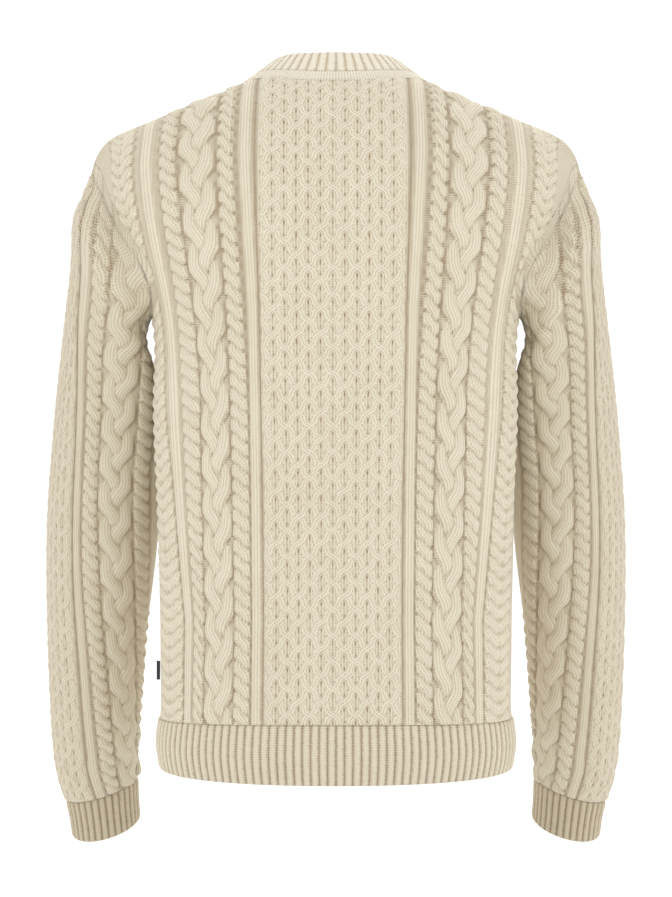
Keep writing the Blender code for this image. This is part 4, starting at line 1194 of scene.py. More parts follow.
@dataclass
class Shell:
    """The points and faces of a closed piece of cloth, with what its material reads."""

    points: Array
    quads: Array
    triangles: Array
    stitch: Array  # (column, course) for each corner of each face, quads first
    purl: Array
    # painted shade in what lies lower than the cloth around it
    painted_shade: Array
    # the slit of a comb's eye, and painted shade near its tips
    eye: Array

    def mesh_object(self, name: str, mirror: bool = False) -> bpy.types.Object:
        """Makes the piece's object, in metres, with its stitch map and its masks.

        Args:
            name: the piece's name.
            mirror: whether it is the same piece on the wearer's other side.

        Returns:
            The object, at the origin.
        """
        points, quads, triangles, stitch = self.points * METRES, self.quads, self.triangles, self.stitch
        if mirror:
            points = points * [-1, 1, 1]
            split = quads.size
            stitch = np.concatenate([stitch[:split].reshape(-1, 4, 2)[:, ::-1].reshape(-1, 2),
                                     stitch[split:].reshape(-1, 3, 2)[:, ::-1].reshape(-1, 2)])
            quads, triangles = quads[:, ::-1], triangles[:, ::-1]
        mesh = bpy.data.meshes.new(name)
        mesh.from_pydata(points.tolist(), [], quads.tolist() + triangles.tolist())
        mesh.uv_layers.new(name="stitch").data.foreach_set("uv", stitch.astype(np.float32).ravel())
        for title, values in (("purl", self.purl), ("painted_shade", self.painted_shade), ("eye", self.eye)):
            mesh.attributes.new(title, "FLOAT", "POINT").data.foreach_set(
                "value", values.astype(np.float32))
        mesh.shade_smooth()
        made = bpy.data.objects.new(name, mesh)
        bpy.context.scene.collection.objects.link(made)
        return made


def spread(values: Array) -> Array:
    """Averages each value of a grid with those around it.

    Args:
        values: the grid.

    Returns:
        The averages, in the form of the grid.
    """
    weights = np.array(SPREAD_WEIGHTS) / sum(SPREAD_WEIGHTS)
    reach = len(weights) // 2
    for axis in (0, 1):
        pads = [(reach, reach) if i == axis else (0, 0) for i in (0, 1)]
        padded = np.pad(values, pads, mode="edge")
        size = values.shape[axis]
        values = sum(weight * np.take(padded, np.arange(i, i + size), axis)
                     for i, weight in enumerate(weights))
    return values


@dataclass
class KnittedPanel:
    """A panel knitted from the chart, with its cables standing on a plain ground."""

    surface: Panel | SleeveTube
    chart: CableChart
    low: float
    high: float
    limit: float
    grain: SleeveGrain | None = None
    crown: float = 0.0  # the relief fades out over this much of the panel's top
    start: float = 0.0  # and over this much of its lowest levels
    cell: float = 1.82
    course: float = 1.9
    reach: float = 0.62  # how near to the edge a point is moved onto it, as a share of a cell
    lining_cell: float = 9.0
    lining_reach: float = 5.0
    hollow_depth: float = 0.9  # a place this much lower than the cloth around it gets the full painted shade
    scan: int = 260  # at how many places a row is read to find the edges of its cables
    scan_inset: float = 0.5
    scan_past: float = 40.0  # how far past its last place an edge may lie, in steps of the scan
    narrowest: float = 0.35  # a part of the chart is at least this share of its usual width
    widest: float = 2.5  # and at most this share of it
    slack: float = 4.0  # and this much
    least_comb: float = 6.0

    def knit_places(self, across: Array, height: Array) -> tuple[Array, Array, Array]:
        """Where places of the panel's grid lie in the chart, and how far along the cloth.

        Without a grain, the way along is the sum of the steps from row to row.

        Args:
            across: the places' distances across, row by row.
            height: their heights.

        Returns:
            The distances across and the heights in the chart, and the ways along the cloth.
        """
        points = self.surface.point(across, height)
        if self.grain is None:
            steps = np.linalg.norm(np.diff(points, axis=0), axis=-1)
            return across, height, height[:1] + np.concatenate(
                [np.zeros_like(height[:1]), np.cumsum(steps, axis=0)])
        around, course = self.grain.read(points)
        return around, course, course

    def edges(self, rows: Array, side: int) -> Array:
        """How far out the edges of the cables lie on one side, for each row.

        With a grain, each edge is where the chart's place is first passed on the way out, and past the
        seam it keeps its distance.

        Args:
            rows: the height of each row.
            side: 1 for the side where across is above 0, else -1.

        Returns:
            The distances of all the edges, one row for each height.
        """
        names = ChartRow._fields[1:]
        if self.grain is None:
            return np.stack([self.chart.place(name, rows) for name in names], 1)
        out = np.linspace(0, self.limit, self.scan)
        length = self.surface.length(rows, side < 0)[:, None]
        held = np.minimum(out, length - self.scan_inset)
        around, course = self.grain.read(self.surface.point(side * held, rows[:, None]))
        half = self.grain.half(course)
        around = np.mod(side * around + half / 2, 2 * half) - half / 2 + (out - held)
        places = []
        for name in names:
            past = around - self.chart.place(name, course)
            first = np.maximum((past > 0).argmax(1), 1)
            first[past[:, -1] <= 0] = len(out) - 1
            row = np.arange(len(rows))
            rise = past[row, first] - past[row, first - 1]
            share = -past[row, first - 1] / np.where(np.abs(rise) < TINY, 1.0, rise)
            places.append(out[first - 1] + np.clip(share, 0, self.scan_past) * (out[1] - out[0]))
        places = np.array(places).T
        gaps = np.diff(places, axis=1)
        usual = np.median(gaps, axis=0)
        gaps = np.clip(gaps, self.narrowest * usual, self.widest * usual + self.slack)
        first = np.maximum(places[:, :1], self.least_comb)
        return np.concatenate([first, first + np.cumsum(gaps, axis=1)], axis=1)

    def grid(self) -> Array:
        """The places of the outer face's points, with columns that follow the edges of the cables.

        Returns:
            Rows of (across, height).
        """
        rows = np.linspace(self.low, self.high, round((self.high - self.low) / self.course) + 1)
        right = self.chart.columns(self.edges(rows, 1), self.limit, self.cell)
        left = right if self.grain is None else self.chart.columns(self.edges(rows, -1), self.limit,
                                                                   self.cell)
        across = self.chart.shift + np.concatenate([-left[:, :0:-1], right], 1)
        return np.stack([across, np.repeat(rows[:, None], across.shape[1], 1)], -1)

    def lining(self) -> Array:
        """The places of the plain inner face's points.

        Returns:
            Rows of (across, height).
        """
        rows = np.linspace(self.low, self.high, round((self.high - self.low) / self.lining_cell) + 1)
        across = np.linspace(-self.limit, self.limit, round(2 * self.limit / self.lining_cell) + 1)
        return np.stack(np.meshgrid(across, rows), -1)

    def lining_points(self, across: Array, height: Array) -> Array:
        """The inner face's points.

        Beside the shoulder ridge of a body panel they move straight in from the fold, halfway between
        the directions of its two sides, so that no lining comes out through the other panel.

        Args:
            across: the places' distances across.
            height: their heights.

        Returns:
            The points, in the last axis.
        """
        point = self.surface.point
        spots = point(across, height)
        inward = displaced(point, self.surface.outward, across, height,
                           np.full(len(across), -WALL)) - spots
        if self.grain is None:
            ridge = point(across, np.full(len(across), self.high))[:, 1]
            beside = np.clip(1 - np.abs(spots[:, 1] - ridge) / RIDGE_REACH, 0, 1)
            inward[:, 1] *= 1 - np.where(height > self.surface.underarm, beside, 0)
            inward *= WALL / np.linalg.norm(inward, axis=1)[:, None]
        return spots + inward

    def faded(self, relief: Array, painted_shade: Array, below: Array, above: Array) -> tuple[Array, Array]:
        """Lowers the relief and its painted shade towards the ends of the panel, each along a smooth step.

        Args:
            relief: how far each place stands out.
            painted_shade: how much painted shade it gets.
            below: how far below the top of the panel it lies.
            above: how far above its lowest level it lies.

        Returns:
            The relief and the shade that are left.
        """
        if self.crown:
            share = np.clip(below / self.crown, 0, 1)
            relief = relief * (LEAST_RELIEF + (1 - LEAST_RELIEF) * share ** 3 * (4 - 3 * share))
        if self.start:
            share = np.clip(above / self.start, 0, 1)
            share = share ** 2 * (3 - 2 * share)
            relief = relief * (LEAST_RELIEF + (1 - LEAST_RELIEF) * share)
            painted_shade = painted_shade * (LEAST_HOLLOW + (1 - LEAST_HOLLOW) * share)
        return relief, painted_shade

    def shell(self) -> Shell:
        """The panel's closed shell.

        Returns:
            Its cabled outer face, its plain inner face and the rim between them.
        """
        edge = self.surface.edge()
        grid = self.grid()
        outer = cut_out(grid, edge, self.reach * self.cell)
        inner = cut_out(self.lining(), edge, self.lining_reach)
        across, level, knitted = self.knit_places(grid[..., 0], grid[..., 1])
        knit = self.chart.relief(across, level, knitted)
        # painted shade in what lies lower than the knitting around it, where real shade would fall
        sunk = np.clip((spread(knit.height) - knit.height) / self.hollow_depth, 0, 1)
        height, layer, purl, painted_shade, eye, below = (
            values.reshape(-1)[outer.numbers] for values in
            (knit.height, knit.layer, knit.purl, sunk, knit.eye, knitted[-1:] - knitted))
        stitch = knit.stitch.reshape(len(knit.stitch), -1, 2)[:, outer.numbers]
        across, level = outer.places.T
        grown = np.clip(outer.to_edge / SEAM_TAPER, 0, 1)
        relief = EDGE_RELIEF + (height - EDGE_RELIEF) * grown * (2 - grown)
        relief, painted_shade = self.faded(relief, painted_shade, below, level - self.low)
        face = displaced(self.surface.point, self.surface.outward, across, level, relief)
        back = self.lining_points(*inner.places.T)
        start = len(face)
        rim = zip_rim(outer.border, outer.border_place, inner.border + start, inner.border_place)
        flip = slice(None, None, self.surface.outward)
        quads = np.concatenate([outer.quads[:, flip], (inner.quads + start)[:, ::-1][:, flip]])
        triangles = np.concatenate([outer.corners[:, flip],
                                    (inner.corners + start)[:, ::-1][:, flip], rim[:, flip]])
        lining_map = inner.places / (STITCH_WIDTH, STITCH_HEIGHT)
        maps = []
        for faces in (quads, triangles):
            on_face = (faces < start).all(1)
            known = np.where(faces < start, faces, 0)
            votes = np.sort(layer[known], 1)[:, 1]  # the layer most of a face's corners are in
            outside = stitch[votes[:, None], known]
            inside = lining_map[np.where(faces >= start, faces - start, 0)]
            maps.append(np.where(on_face[:, None, None], outside, inside).reshape(-1, 2))
        count = len(inner.places)
        return Shell(np.concatenate([face, back]), quads, triangles, np.concatenate(maps),
                     np.concatenate([purl, np.ones(count)]),
                     np.concatenate([painted_shade, np.zeros(count)]),
                     np.concatenate([eye, np.zeros(count)]))


@dataclass
class RibbedBand:
    """A ribbed strip of cloth: the hem, a cuff, the binding or the neck rib."""

    point: Callable[[Array, Array], Array]
    outward: int
    across: Array  # rows of columns
    levels: Array
    relief: Array
    ribs: int = 0  # how many it has, each one stitch column, or 0 where it is plain

    def shell(self) -> Shell:
        """The strip's closed shell, with both its faces on the same columns.

        Returns:
            Its outer face, its inner face and the rims between them.
        """
        level = np.repeat(np.asarray(self.levels, float)[:, None], self.across.shape[1], 1)
        across = np.broadcast_to(self.across, level.shape)
        outer = displaced(self.point, self.outward, across, level, self.relief)
        inner = displaced(self.point, self.outward, across, level, np.full(level.shape, -WALL))
        rows, columns = level.shape
        points = np.concatenate([outer.reshape(-1, 3), inner.reshape(-1, 3)])
        number = np.arange(rows * columns).reshape(rows, columns)
        ring = bool(np.allclose(outer[:, 0], outer[:, -1], atol=RING_CLOSES))
        if ring:
            number[:, -1] = number[:, 0]
        other = number + rows * columns

        def squares(grid: Array) -> Array:
            """The squares of a grid of point numbers."""
            return np.stack([grid[:-1, :-1], grid[:-1, 1:], grid[1:, 1:], grid[1:, :-1]],
                            -1).reshape(-1, 4)

        rims = [squares(np.stack([other[0], number[0]])), squares(np.stack([number[-1], other[-1]]))]
        if not ring:
            rims += [squares(np.stack([number[:, 0], other[:, 0]])),
                     squares(np.stack([other[:, -1], number[:, -1]]))]
        quads = np.concatenate([squares(number), squares(other)[:, ::-1]] + rims)
        if self.outward < 0:
            quads = quads[:, ::-1]
        step = np.linalg.norm(np.diff(outer[rows // 2], axis=0), axis=1)
        place = np.concatenate(([0], np.cumsum(step)))
        columns_at = np.linspace(0, self.ribs, columns) if self.ribs else place / STITCH_WIDTH
        flat = np.stack([np.broadcast_to(columns_at, level.shape),
                         (level - level.min()) / STITCH_HEIGHT], -1).reshape(-1, 2)
        both = np.concatenate([flat, flat])
        raised = np.broadcast_to(self.relief, level.shape).ravel()
        plain = np.zeros(len(raised))
        # painted shade in the grooves between the ribs
        painted_shade = np.clip(1 - raised / (GROOVE_SHARE * raised.max()), 0, 1) if self.ribs else plain
        return Shell(points, quads, np.zeros((0, 3), int), both[quads.ravel()],
                     np.concatenate([plain, np.ones(len(raised))]),
                     np.concatenate([painted_shade, plain]), np.concatenate([plain, plain]))


def rib_profile(ribs: int, top: float) -> Array:
    """Rounded ridges over a count of ribs, with a groove at both ends: the root of a sine's size."""
    turn = np.linspace(0, ribs * math.pi, ribs * RIB_SAMPLES + 1)
    return top * np.abs(np.sin(turn)) ** RIB_ROUNDNESS


# ------------------------------------------------------------------------------ finishes


class Nodes:
    """A short way to write a node group's arithmetic."""

    def __init__(self, tree: bpy.types.NodeTree) -> None:
        """Keeps the tree."""
        self.tree = tree

    def math(self, operation: str, *values: Value) -> bpy.types.NodeSocket:
        """A Math node.

        Args:
            operation: what it does.
            values: its inputs, sockets or numbers.

        Returns:
            Its result.
        """
        node = self.tree.nodes.new("ShaderNodeMath")
        node.operation = operation
        for i, value in enumerate(values):
            if isinstance(value, (int, float)):
                node.inputs[i].default_value = value
            else:
                self.tree.links.new(value, node.inputs[i])
        return node.outputs[0]

    def mix(self, share: Value, first: Value, second: Value) -> bpy.types.NodeSocket:
        """A colour part of the way between two.

        Args:
            share: how far it lies towards the second one.
            first: the colour at 0.
            second: the colour at 1.

        Returns:
            The colour.
        """
        node = self.tree.nodes.new("ShaderNodeMix")
        node.data_type = "RGBA"
        for number, value in zip(COLOUR_MIX_INPUTS, (share, first, second)):
            if isinstance(value, (int, float, tuple)):
                node.inputs[number].default_value = value
            else:
                self.tree.links.new(value, node.inputs[number])
        return node.outputs[COLOUR_MIX_RESULT]

    def noise(self, place: bpy.types.NodeSocket, scale: float, detail: float) -> bpy.types.NodeSocket:
        """A noise texture.

        Args:
            place: where it is read.
            scale: how fine it is, in waves to the metre.
            detail: how many finer layers it has.

        Returns:
            Its value.
        """
        node = self.tree.nodes.new("ShaderNodeTexNoise")
        node.inputs["Scale"].default_value = scale
        node.inputs["Detail"].default_value = detail
        self.tree.links.new(place, node.inputs["Vector"])
        return node.outputs[0]


@dataclass(frozen=True)
class StitchPattern:
    """How the single stitches look, in node scales, powers and shares."""

    uneven_scale: float = 420.0
    unevenness: float = 0.5  # how far a stitch may lie from its place, in stitches
    hole_power: float = 2.2  # the greater a power, the narrower the dot or line
    hole_row: float = 0.85  # how much of a hole comes and goes with the courses
    gap_power: float = 1.4
    slit_power: float = 22.0
    slit_row: float = 0.7
    slit_turns: float = 0.25  # for each stitch, one for each cell of the comb
    # how much the painted shade near an eye's tips darkens its slit
    tip_gain: float = 2.5
    fibre_scale: float = 1500.0
    fibre_height: float = 0.28
    fibre_shade: float = 0.2
    fibre_roughness: float = 0.1
    cloud_scale: float = 28.0
    cloud_shade: float = 0.16

    def group(self) -> bpy.types.NodeTree:
        """The node group of knit and purl stitches, made once.

        The holes of the knit side are dots along the borders of its columns. The purl side has a zigzag
        between its courses, with deeper gaps in hollows as painted shade. Down the middle of each eye runs a
        slit, solid and darker near its tips as painted shade. Painted shade in hollows also pulls the colour
        towards the deep yarn.

        Returns:
            The group.
        """
        name = "knit_stitches"
        if name in bpy.data.node_groups:
            return bpy.data.node_groups[name]
        tree = bpy.data.node_groups.new(name, "ShaderNodeTree")
        for title, kind in (("Stitch", "Vector"), ("Purl", "Float"), ("Painted Shade", "Float"),
                            ("Eye", "Float"), ("Place", "Vector"), ("Light Yarn", "Color"),
                            ("Deep Yarn", "Color"), ("Roughness", "Float")):
            tree.interface.new_socket(title, in_out="INPUT", socket_type=f"NodeSocket{kind}")
        for title, kind in (("Color", "Color"), ("Height", "Float"), ("Roughness", "Float")):
            tree.interface.new_socket(title, in_out="OUTPUT", socket_type=f"NodeSocket{kind}")
        given, put = tree.nodes.new("NodeGroupInput").outputs, tree.nodes.new("NodeGroupOutput").inputs
        n = Nodes(tree)
        split = tree.nodes.new("ShaderNodeSeparateXYZ")
        tree.links.new(given["Stitch"], split.inputs[0])
        column, course = split.outputs[0], split.outputs[1]

        def wave(value: bpy.types.NodeSocket, turns: float) -> bpy.types.NodeSocket:
            """Half of one plus a cosine, that many turns for each stitch."""
            turn = n.math("COSINE", n.math("MULTIPLY", value, 2 * math.pi * turns))
            return n.math("MULTIPLY_ADD", turn, 0.5, 0.5)

        def varied(value: bpy.types.NodeSocket, noise: bpy.types.NodeSocket,
                   amount: float) -> bpy.types.NodeSocket:
            """A value with a noise's distance from its middle added, times an amount."""
            return n.math("MULTIPLY_ADD", n.math("SUBTRACT", noise, 0.5), amount, value)

        place = given["Place"]
        uneven = n.math("MULTIPLY", n.math("SUBTRACT", n.noise(place, self.uneven_scale, 1.0), 0.5),
                        self.unevenness)
        column, course = n.math("ADD", column, uneven), n.math("SUBTRACT", course, uneven)
        border, row = wave(column, 1.0), wave(course, 1.0)
        knit = n.math("MULTIPLY", n.math("POWER", border, self.hole_power),
                      n.math("MULTIPLY_ADD", row, self.hole_row, 1 - self.hole_row))
        slanted = n.math("MULTIPLY_ADD", n.math("PINGPONG", column, 0.5), 1.0, course)
        # the purl side's gaps, up to twice as deep where painted shade lies in hollows
        purl = n.math("MULTIPLY", n.math("POWER", wave(slanted, 1.0), self.gap_power),
                      n.math("MULTIPLY_ADD", given["Painted Shade"], PURL_SHADE / 2, PURL_SHADE / 2))
        knit = n.math("MULTIPLY", knit, KNIT_SHADE)
        holes = n.math("MULTIPLY_ADD", n.math("SUBTRACT", purl, knit), given["Purl"], knit)
        # painted shade near an eye's tips makes its slit solid and darker
        tips = n.math("MULTIPLY", n.math("SUBTRACT", given["Eye"], EYE_LINE), self.tip_gain)
        dotted = n.math("MAXIMUM", n.math("MULTIPLY_ADD", row, self.slit_row, 1 - self.slit_row), tips)
        line = n.math("MULTIPLY", n.math("POWER", wave(column, self.slit_turns), self.slit_power),
                      dotted)
        open_share = n.math("MAXIMUM", holes, n.math("MULTIPLY", line, given["Eye"]))
        fibre = n.noise(place, self.fibre_scale, 3.0)
        height = n.math("MULTIPLY_ADD", fibre, self.fibre_height,
                        n.math("SUBTRACT", 1.0, open_share))
        cloud = n.noise(place, self.cloud_scale, 2.0)
        # painted shade in hollows, added to the stitch holes
        depth = n.math("MULTIPLY_ADD", given["Painted Shade"], HOLLOW_SHADE, open_share)
        depth = varied(varied(depth, cloud, self.cloud_shade), fibre, self.fibre_shade)
        shade = n.math("MINIMUM", n.math("MAXIMUM", depth, 0.0), 1.0)
        tree.links.new(n.mix(shade, given["Light Yarn"], given["Deep Yarn"]), put["Color"])
        tree.links.new(height, put["Height"])
        tree.links.new(varied(given["Roughness"], fibre, self.fibre_roughness), put["Roughness"])
        return tree


@dataclass(frozen=True)
class Yarn:
    """A knitted finish: its yarn's colours and how strongly its stitches stand out."""

    name: str
    light: Colour
    deep: Colour  # in stitch holes, and as painted shade in hollows
    relief: float = 0.0007
    roughness: float = 0.92
    sheen: float = 0.25
    sheen_roughness: float = 0.5
    sheen_tint: Colour = (1.0, 0.95, 0.86)
    specular: float = 0.25
    pattern: StitchPattern = StitchPattern()

    def material(self) -> bpy.types.Material:
        """The material, with its stitches from the stitch map.

        Returns:
            The material.
        """
        made = bpy.data.materials.new(self.name)
        made.use_nodes = True
        nodes, links = made.node_tree.nodes, made.node_tree.links
        shader = nodes["Principled BSDF"]
        shader.inputs["Sheen Weight"].default_value = self.sheen
        shader.inputs["Sheen Roughness"].default_value = self.sheen_roughness
        shader.inputs["Sheen Tint"].default_value = (*self.sheen_tint, 1)
        shader.inputs["Specular IOR Level"].default_value = self.specular
        stitches = nodes.new("ShaderNodeGroup")
        stitches.node_tree = self.pattern.group()
        chart = nodes.new("ShaderNodeUVMap")
        chart.uv_map = "stitch"
        links.new(chart.outputs["UV"], stitches.inputs["Stitch"])
        for title, socket in (("purl", "Purl"), ("painted_shade", "Painted Shade"), ("eye", "Eye")):
            mask = nodes.new("ShaderNodeAttribute")
            mask.attribute_name = title
            links.new(mask.outputs["Fac"], stitches.inputs[socket])
        place = nodes.new("ShaderNodeTexCoord")
        links.new(place.outputs["Object"], stitches.inputs["Place"])
        stitches.inputs["Light Yarn"].default_value = (*self.light, 1)
        stitches.inputs["Deep Yarn"].default_value = (*self.deep, 1)
        stitches.inputs["Roughness"].default_value = self.roughness
        bump = nodes.new("ShaderNodeBump")
        bump.inputs["Strength"].default_value = 1.0
        bump.inputs["Distance"].default_value = self.relief
        links.new(stitches.outputs["Height"], bump.inputs["Height"])
        links.new(bump.outputs["Normal"], shader.inputs["Normal"])
        links.new(stitches.outputs["Color"], shader.inputs["Base Color"])
        links.new(stitches.outputs["Roughness"], shader.inputs["Roughness"])
        return made


@dataclass(frozen=True)
class LabelWeave:
    """The label's dense black satin weave."""

    colour: Colour = (0.012, 0.011, 0.011)
    sheen: float = 3.2  # painted sheen: how many times lighter its highest threads are
    thread_scale: float = 1300 / 3  # of the wave texture, some 1,400 threads to the metre
    distortion: float = 0.6
    warp_scale: float = 900.0
    relief: float = 0.0001
    roughness: float = 0.45
    roughness_range: float = 0.2

    def material(self) -> bpy.types.Material:
        """The material, with fine threads across the label and a painted sheen on the highest of them.

        Returns:
            The material.
        """
        made = bpy.data.materials.new("label_weave")
        made.use_nodes = True
        nodes, links = made.node_tree.nodes, made.node_tree.links
        shader = nodes["Principled BSDF"]
        n = Nodes(made.node_tree)
        place = nodes.new("ShaderNodeTexCoord")
        wave = nodes.new("ShaderNodeTexWave")
        wave.bands_direction = "Z"
        wave.inputs["Scale"].default_value = self.thread_scale
        wave.inputs["Distortion"].default_value = self.distortion
        links.new(place.outputs["Object"], wave.inputs["Vector"])
        warp = n.noise(place.outputs["Object"], self.warp_scale, 2.0)
        dark = (*self.colour, 1)
        sheen_colour = (*(self.sheen * part for part in self.colour), 1)
        # painted sheen: the highest threads, varied by the warp noise, go towards the lighter colour
        shade = n.math("MULTIPLY", wave.outputs["Fac"], warp)
        links.new(n.mix(shade, dark, sheen_colour), shader.inputs["Base Color"])
        bump = nodes.new("ShaderNodeBump")
        bump.inputs["Distance"].default_value = self.relief
        links.new(wave.outputs["Fac"], bump.inputs["Height"])
        links.new(bump.outputs["Normal"], shader.inputs["Normal"])
        links.new(n.math("MULTIPLY_ADD", warp, self.roughness_range, self.roughness),
                  shader.inputs["Roughness"])
        return made


# ------------------------------------------------------------------------------ the sweater


@dataclass
class Sweater:
    """Every knitted piece, built on the same surfaces as the frame's solids, and its yarn."""

    knit: Yarn = Yarn("cream_knit", (0.755, 0.69, 0.55), (0.30, 0.195, 0.085))
    # the same cream yarn, darker, as painted shade for the light that falls off down the sleeves
    shaded_sleeve_knit: Yarn = Yarn("cream_sleeve_knit_shaded", (0.69, 0.625, 0.49), (0.28, 0.18, 0.078))
    trim: Yarn = Yarn("cream_rib", (0.69, 0.62, 0.485), (0.26, 0.165, 0.07))
    neck_trim: Yarn = Yarn("cream_neck_rib", (0.79, 0.735, 0.61), (0.36, 0.25, 0.12))
    # darker still, as painted shade towards the ends of the sleeves and in the cuffs' deep grooves
    shaded_cuff_trim: Yarn = Yarn("cream_cuff_rib_shaded", (0.56, 0.485, 0.35), (0.18, 0.11, 0.045))
    rib_top: float = 2.3
    neck_top: float = 1.2

    def __post_init__(self) -> None:
        """Works out the surfaces."""
        torso = Torso()
        self.back, self.front = Panel(torso, Side.BACK), Panel(torso, Side.FRONT)
        self.sleeve = SleeveTube(self.back, self.front)
        self.neck = NeckBand(self.back, self.front)

    def keep(self, piece: bpy.types.Object, node: str, finish: bpy.types.Material) -> None:
        """Rides a piece on the frame in place of its node, with its finish.

        Args:
            piece: the new piece.
            node: the frame's node it stands for.
            finish: its material.
        """
        piece.data.materials.append(finish)
        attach(piece, "root")
        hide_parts(node)
        LOG.info("%s: %d triangles", piece.name,
                 sum(len(face.vertices) - 2 for face in piece.data.polygons))

    def build_body(self, finish: bpy.types.Material) -> None:
        """The back and the front.

        Args:
            finish: their material.
        """
        for panel, node in ((self.back, "back_panel"), (self.front, "front_panel")):
            chart = CableChart(BODY_CHART, CHART_SHIFT, panel.side.value, 1)
            edge = panel.edge()
            limit = float(np.abs(edge[:, 0]).max()) + GRID_MARGIN
            low, high = panel.hem_seam + SEAM_GAP / 2, panel.height - SEAM_GAP / 2
            shell = KnittedPanel(panel, chart, low, high, limit, crown=CROWN_FADE).shell()
            piece = shell.mesh_object(f"{node}_cloth")
            self.keep(piece, node, finish)

    def build_sleeves(self, finish: bpy.types.Material) -> None:
        """Both sleeves. The right one is the left one's mirror image, but for the cables' crossings.

        Args:
            finish: their material.
        """
        edge = self.sleeve.edge()
        limit = float(np.abs(edge[:, 0]).max()) + GRID_MARGIN
        high = self.sleeve.cuff_seam - SEAM_GAP
        grain = SleeveGrain(self.sleeve)
        for node, lean, mirror in (("left_sleeve", 1, False), ("right_sleeve", -1, True)):
            chart = CableChart(SLEEVE_CHART, 0.0, lean, -1)
            shell = KnittedPanel(self.sleeve, chart, 0.0, high, limit, grain, start=SLEEVE_HEAD_FADE,
                                 cell=SLEEVE_CELL, course=SLEEVE_COURSE).shell()
            piece = shell.mesh_object(f"{node}_cloth", mirror)
            self.keep(piece, node, finish)

    def build_hem(self, finish: bpy.types.Material) -> None:
        """Both halves of the hem rib.

        Args:
            finish: their material.
        """
        for panel, node in ((self.back, "hem_rib_back"), (self.front, "hem_rib_front")):
            top = panel.hem_seam - SEAM_GAP / 2
            levels = HEM_PLAN.levels(0.0, top)
            shares = np.linspace(-1, 1, HEM_RIBS * RIB_SAMPLES + 1)
            across = shares * (panel.length(levels) - SEAM_GAP / 2)[:, None]
            relief = HEM_PLAN.heights(0.0, top)[:, None] * rib_profile(HEM_RIBS, self.rib_top)
            band = RibbedBand(panel.point, panel.outward, across, levels, relief, HEM_RIBS)
            piece = band.shell().mesh_object(f"{node}_cloth")
            width = 2 * float(panel.length(levels).mean())
            self.keep(piece, node, finish)

    def build_cuffs(self, finish: bpy.types.Material) -> None:
        """Both cuffs.

        Args:
            finish: their material.
        """
        start, end = self.sleeve.cuff_seam + SEAM_GAP, self.sleeve.end
        levels = CUFF_PLAN.levels(start, end)
        share = np.linspace(-1, 1, CUFF_RIBS * RIB_SAMPLES + 1)
        front = self.sleeve.length(levels, True)[:, None]
        back = self.sleeve.length(levels, False)[:, None]
        across = np.where(share < 0, share * front, share * back)
        relief = CUFF_PLAN.heights(start, end)[:, None] * rib_profile(CUFF_RIBS, self.rib_top)
        shell = RibbedBand(self.sleeve.point, self.sleeve.outward, across, levels, relief,
                           CUFF_RIBS).shell()
        for node, mirror in (("left_cuff", False), ("right_cuff", True)):
            piece = shell.mesh_object(f"{node}_cloth", mirror)
            self.keep(piece, node, finish)

    def build_neck(self, finish: bpy.types.Material) -> None:
        """The binding over the neck seam and the rib that stands up from it.

        Args:
            finish: their material.
        """
        columns = np.linspace(0, NeckBand.ribs, NeckBand.ribs * RIB_SAMPLES + 1)[None]
        base = BINDING_WIDTH + SEAM_GAP / 2
        top = float(BINDING_WIDTH + COLLAR_WIDTH)
        relief = COLLAR_PLAN.heights(base, top)[:, None] * rib_profile(NeckBand.ribs, self.neck_top)
        collar = RibbedBand(self.neck.point, self.neck.outward, columns,
                            COLLAR_PLAN.levels(base, top), relief, NeckBand.ribs)
        piece = collar.shell().mesh_object("collar_cloth")
        around = float(self.neck.skin.length(top))
        self.keep(piece, "collar", finish)
        levels = np.linspace(0, BINDING_WIDTH - SEAM_GAP / 2, BINDING_ROWS)
        share = np.abs((levels - levels.mean()) / (levels[-1] / 2))
        swell = EDGE_RELIEF + BINDING_SWELL * (1 - share ** BINDING_ROUNDNESS)
        relief = np.repeat(swell[:, None], columns.shape[1], 1)
        binding = RibbedBand(self.neck.point, self.neck.outward, columns, levels, relief)
        piece = binding.shell().mesh_object("neck_binding_cloth")
        around = float(self.neck.skin.length(0.0))
        self.keep(piece, "neck_binding", finish)

    def build(self, frame: dict) -> None:
        """Builds and dresses every piece.

        Args:
            frame: what the frame's loader returned.
        """
        self.build_body(self.knit.material())
        self.build_sleeves(self.shaded_sleeve_knit.material())
        self.build_hem(self.trim.material())
        self.build_cuffs(self.shaded_cuff_trim.material())
        self.build_neck(self.neck_trim.material())
        label = frame["nodes"]["side_label"]
        label.data.materials.clear()
        label.data.materials.append(LabelWeave().material())


class Lamp(NamedTuple):
    """A lamp of the studio, with its place in metres and its turns in degrees."""

    name: str
    place: tuple[float, float, float]
    turn: tuple[float, float, float]


LAMPS = (
    Lamp("key", (0.5, 2.2, 1.9), (-52, 0, 167)),
    Lamp("key_front", (-0.5, -2.2, 1.9), (52, 0, 13)),
)


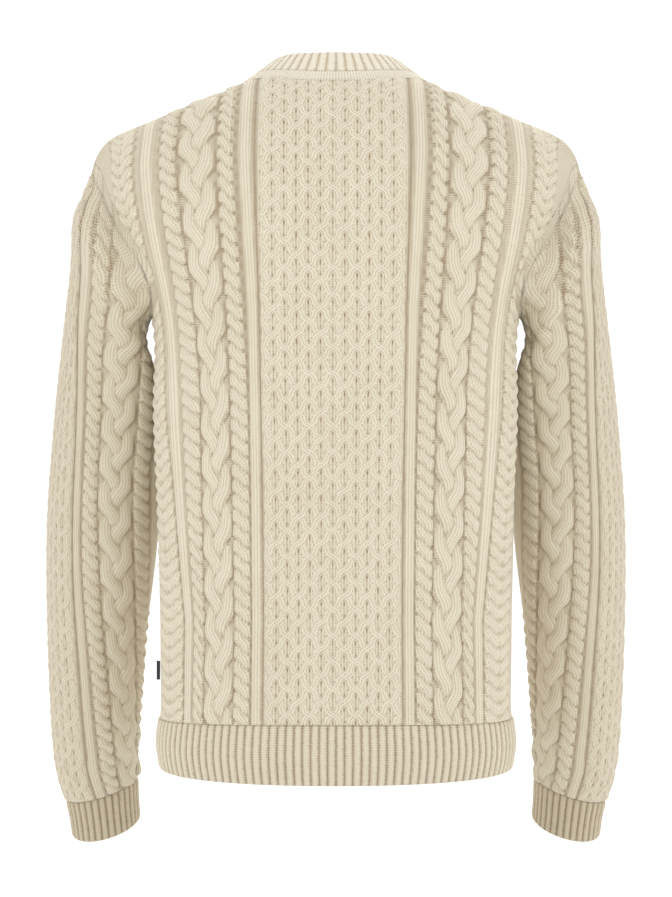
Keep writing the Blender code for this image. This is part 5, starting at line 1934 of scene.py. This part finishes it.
@dataclass
class Studio:
    """The plain floor, the soft lights and the camera. Its lengths are in metres."""

    distance: float = 1.750
    eye_height: float = -0.3645
    frame_width: float = 0.672  # what the camera sees across, at the middle of the sweater
    sensor: float = 36.0
    floor_height: float = -0.87
    floor_size: float = 14.0
    floor_colour: Colour = (0.98, 0.98, 0.98)
    floor_roughness: float = 0.9
    room_light: float = 1.1
    lamp_size: float = 1.4
    lamp_power: float = 34

    def build_floor(self) -> None:
        """A plain pale floor."""
        half = self.floor_size / 2
        mesh = bpy.data.meshes.new("floor")
        mesh.from_pydata([(-half, -half, self.floor_height), (half, -half, self.floor_height),
                          (half, half, self.floor_height), (-half, half, self.floor_height)],
                         [], [(0, 1, 2, 3)])
        made = bpy.data.objects.new("floor", mesh)
        bpy.context.scene.collection.objects.link(made)
        paint = bpy.data.materials.new("floor_paint")
        paint.use_nodes = True
        shader = paint.node_tree.nodes["Principled BSDF"]
        shader.inputs["Base Color"].default_value = (*self.floor_colour, 1)
        shader.inputs["Roughness"].default_value = self.floor_roughness
        mesh.materials.append(paint)

    def build_lights(self) -> None:
        """A white room, and two equal broad lamps above it, one on the back's side and one on the front's."""
        world = bpy.data.worlds.new("studio")
        world.use_nodes = True
        background = world.node_tree.nodes["Background"]
        background.inputs["Color"].default_value = (1, 1, 1, 1)
        background.inputs["Strength"].default_value = self.room_light
        bpy.context.scene.world = world
        for lamp in LAMPS:
            data = bpy.data.lights.new(lamp.name, "AREA")
            data.size = self.lamp_size
            data.energy = self.lamp_power
            made = bpy.data.objects.new(lamp.name, data)
            made.location = lamp.place
            made.rotation_euler = [math.radians(angle) for angle in lamp.turn]
            bpy.context.scene.collection.objects.link(made)

    def build_camera(self) -> None:
        """The camera, level with the middle of the back."""
        data = bpy.data.cameras.new("camera")
        data.sensor_fit = "HORIZONTAL"
        data.sensor_width = self.sensor
        data.lens = self.sensor * self.distance / self.frame_width
        camera = bpy.data.objects.new("camera", data)
        camera.location = (0, self.distance, self.eye_height)
        camera.rotation_euler = (math.pi / 2, 0, math.pi)
        bpy.context.scene.collection.objects.link(camera)
        bpy.context.scene.camera = camera

    def build(self) -> None:
        """Builds the whole studio."""
        self.build_floor()
        self.build_lights()
        self.build_camera()
        bpy.context.scene.view_settings.view_transform = "Standard"


def main() -> None:
    """Loads the frame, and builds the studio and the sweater."""
    logging.basicConfig(level=logging.INFO, format="%(message)s")
    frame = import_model()
    Studio().build()
    Sweater().build(frame)


if __name__ == "__main__":
    main()
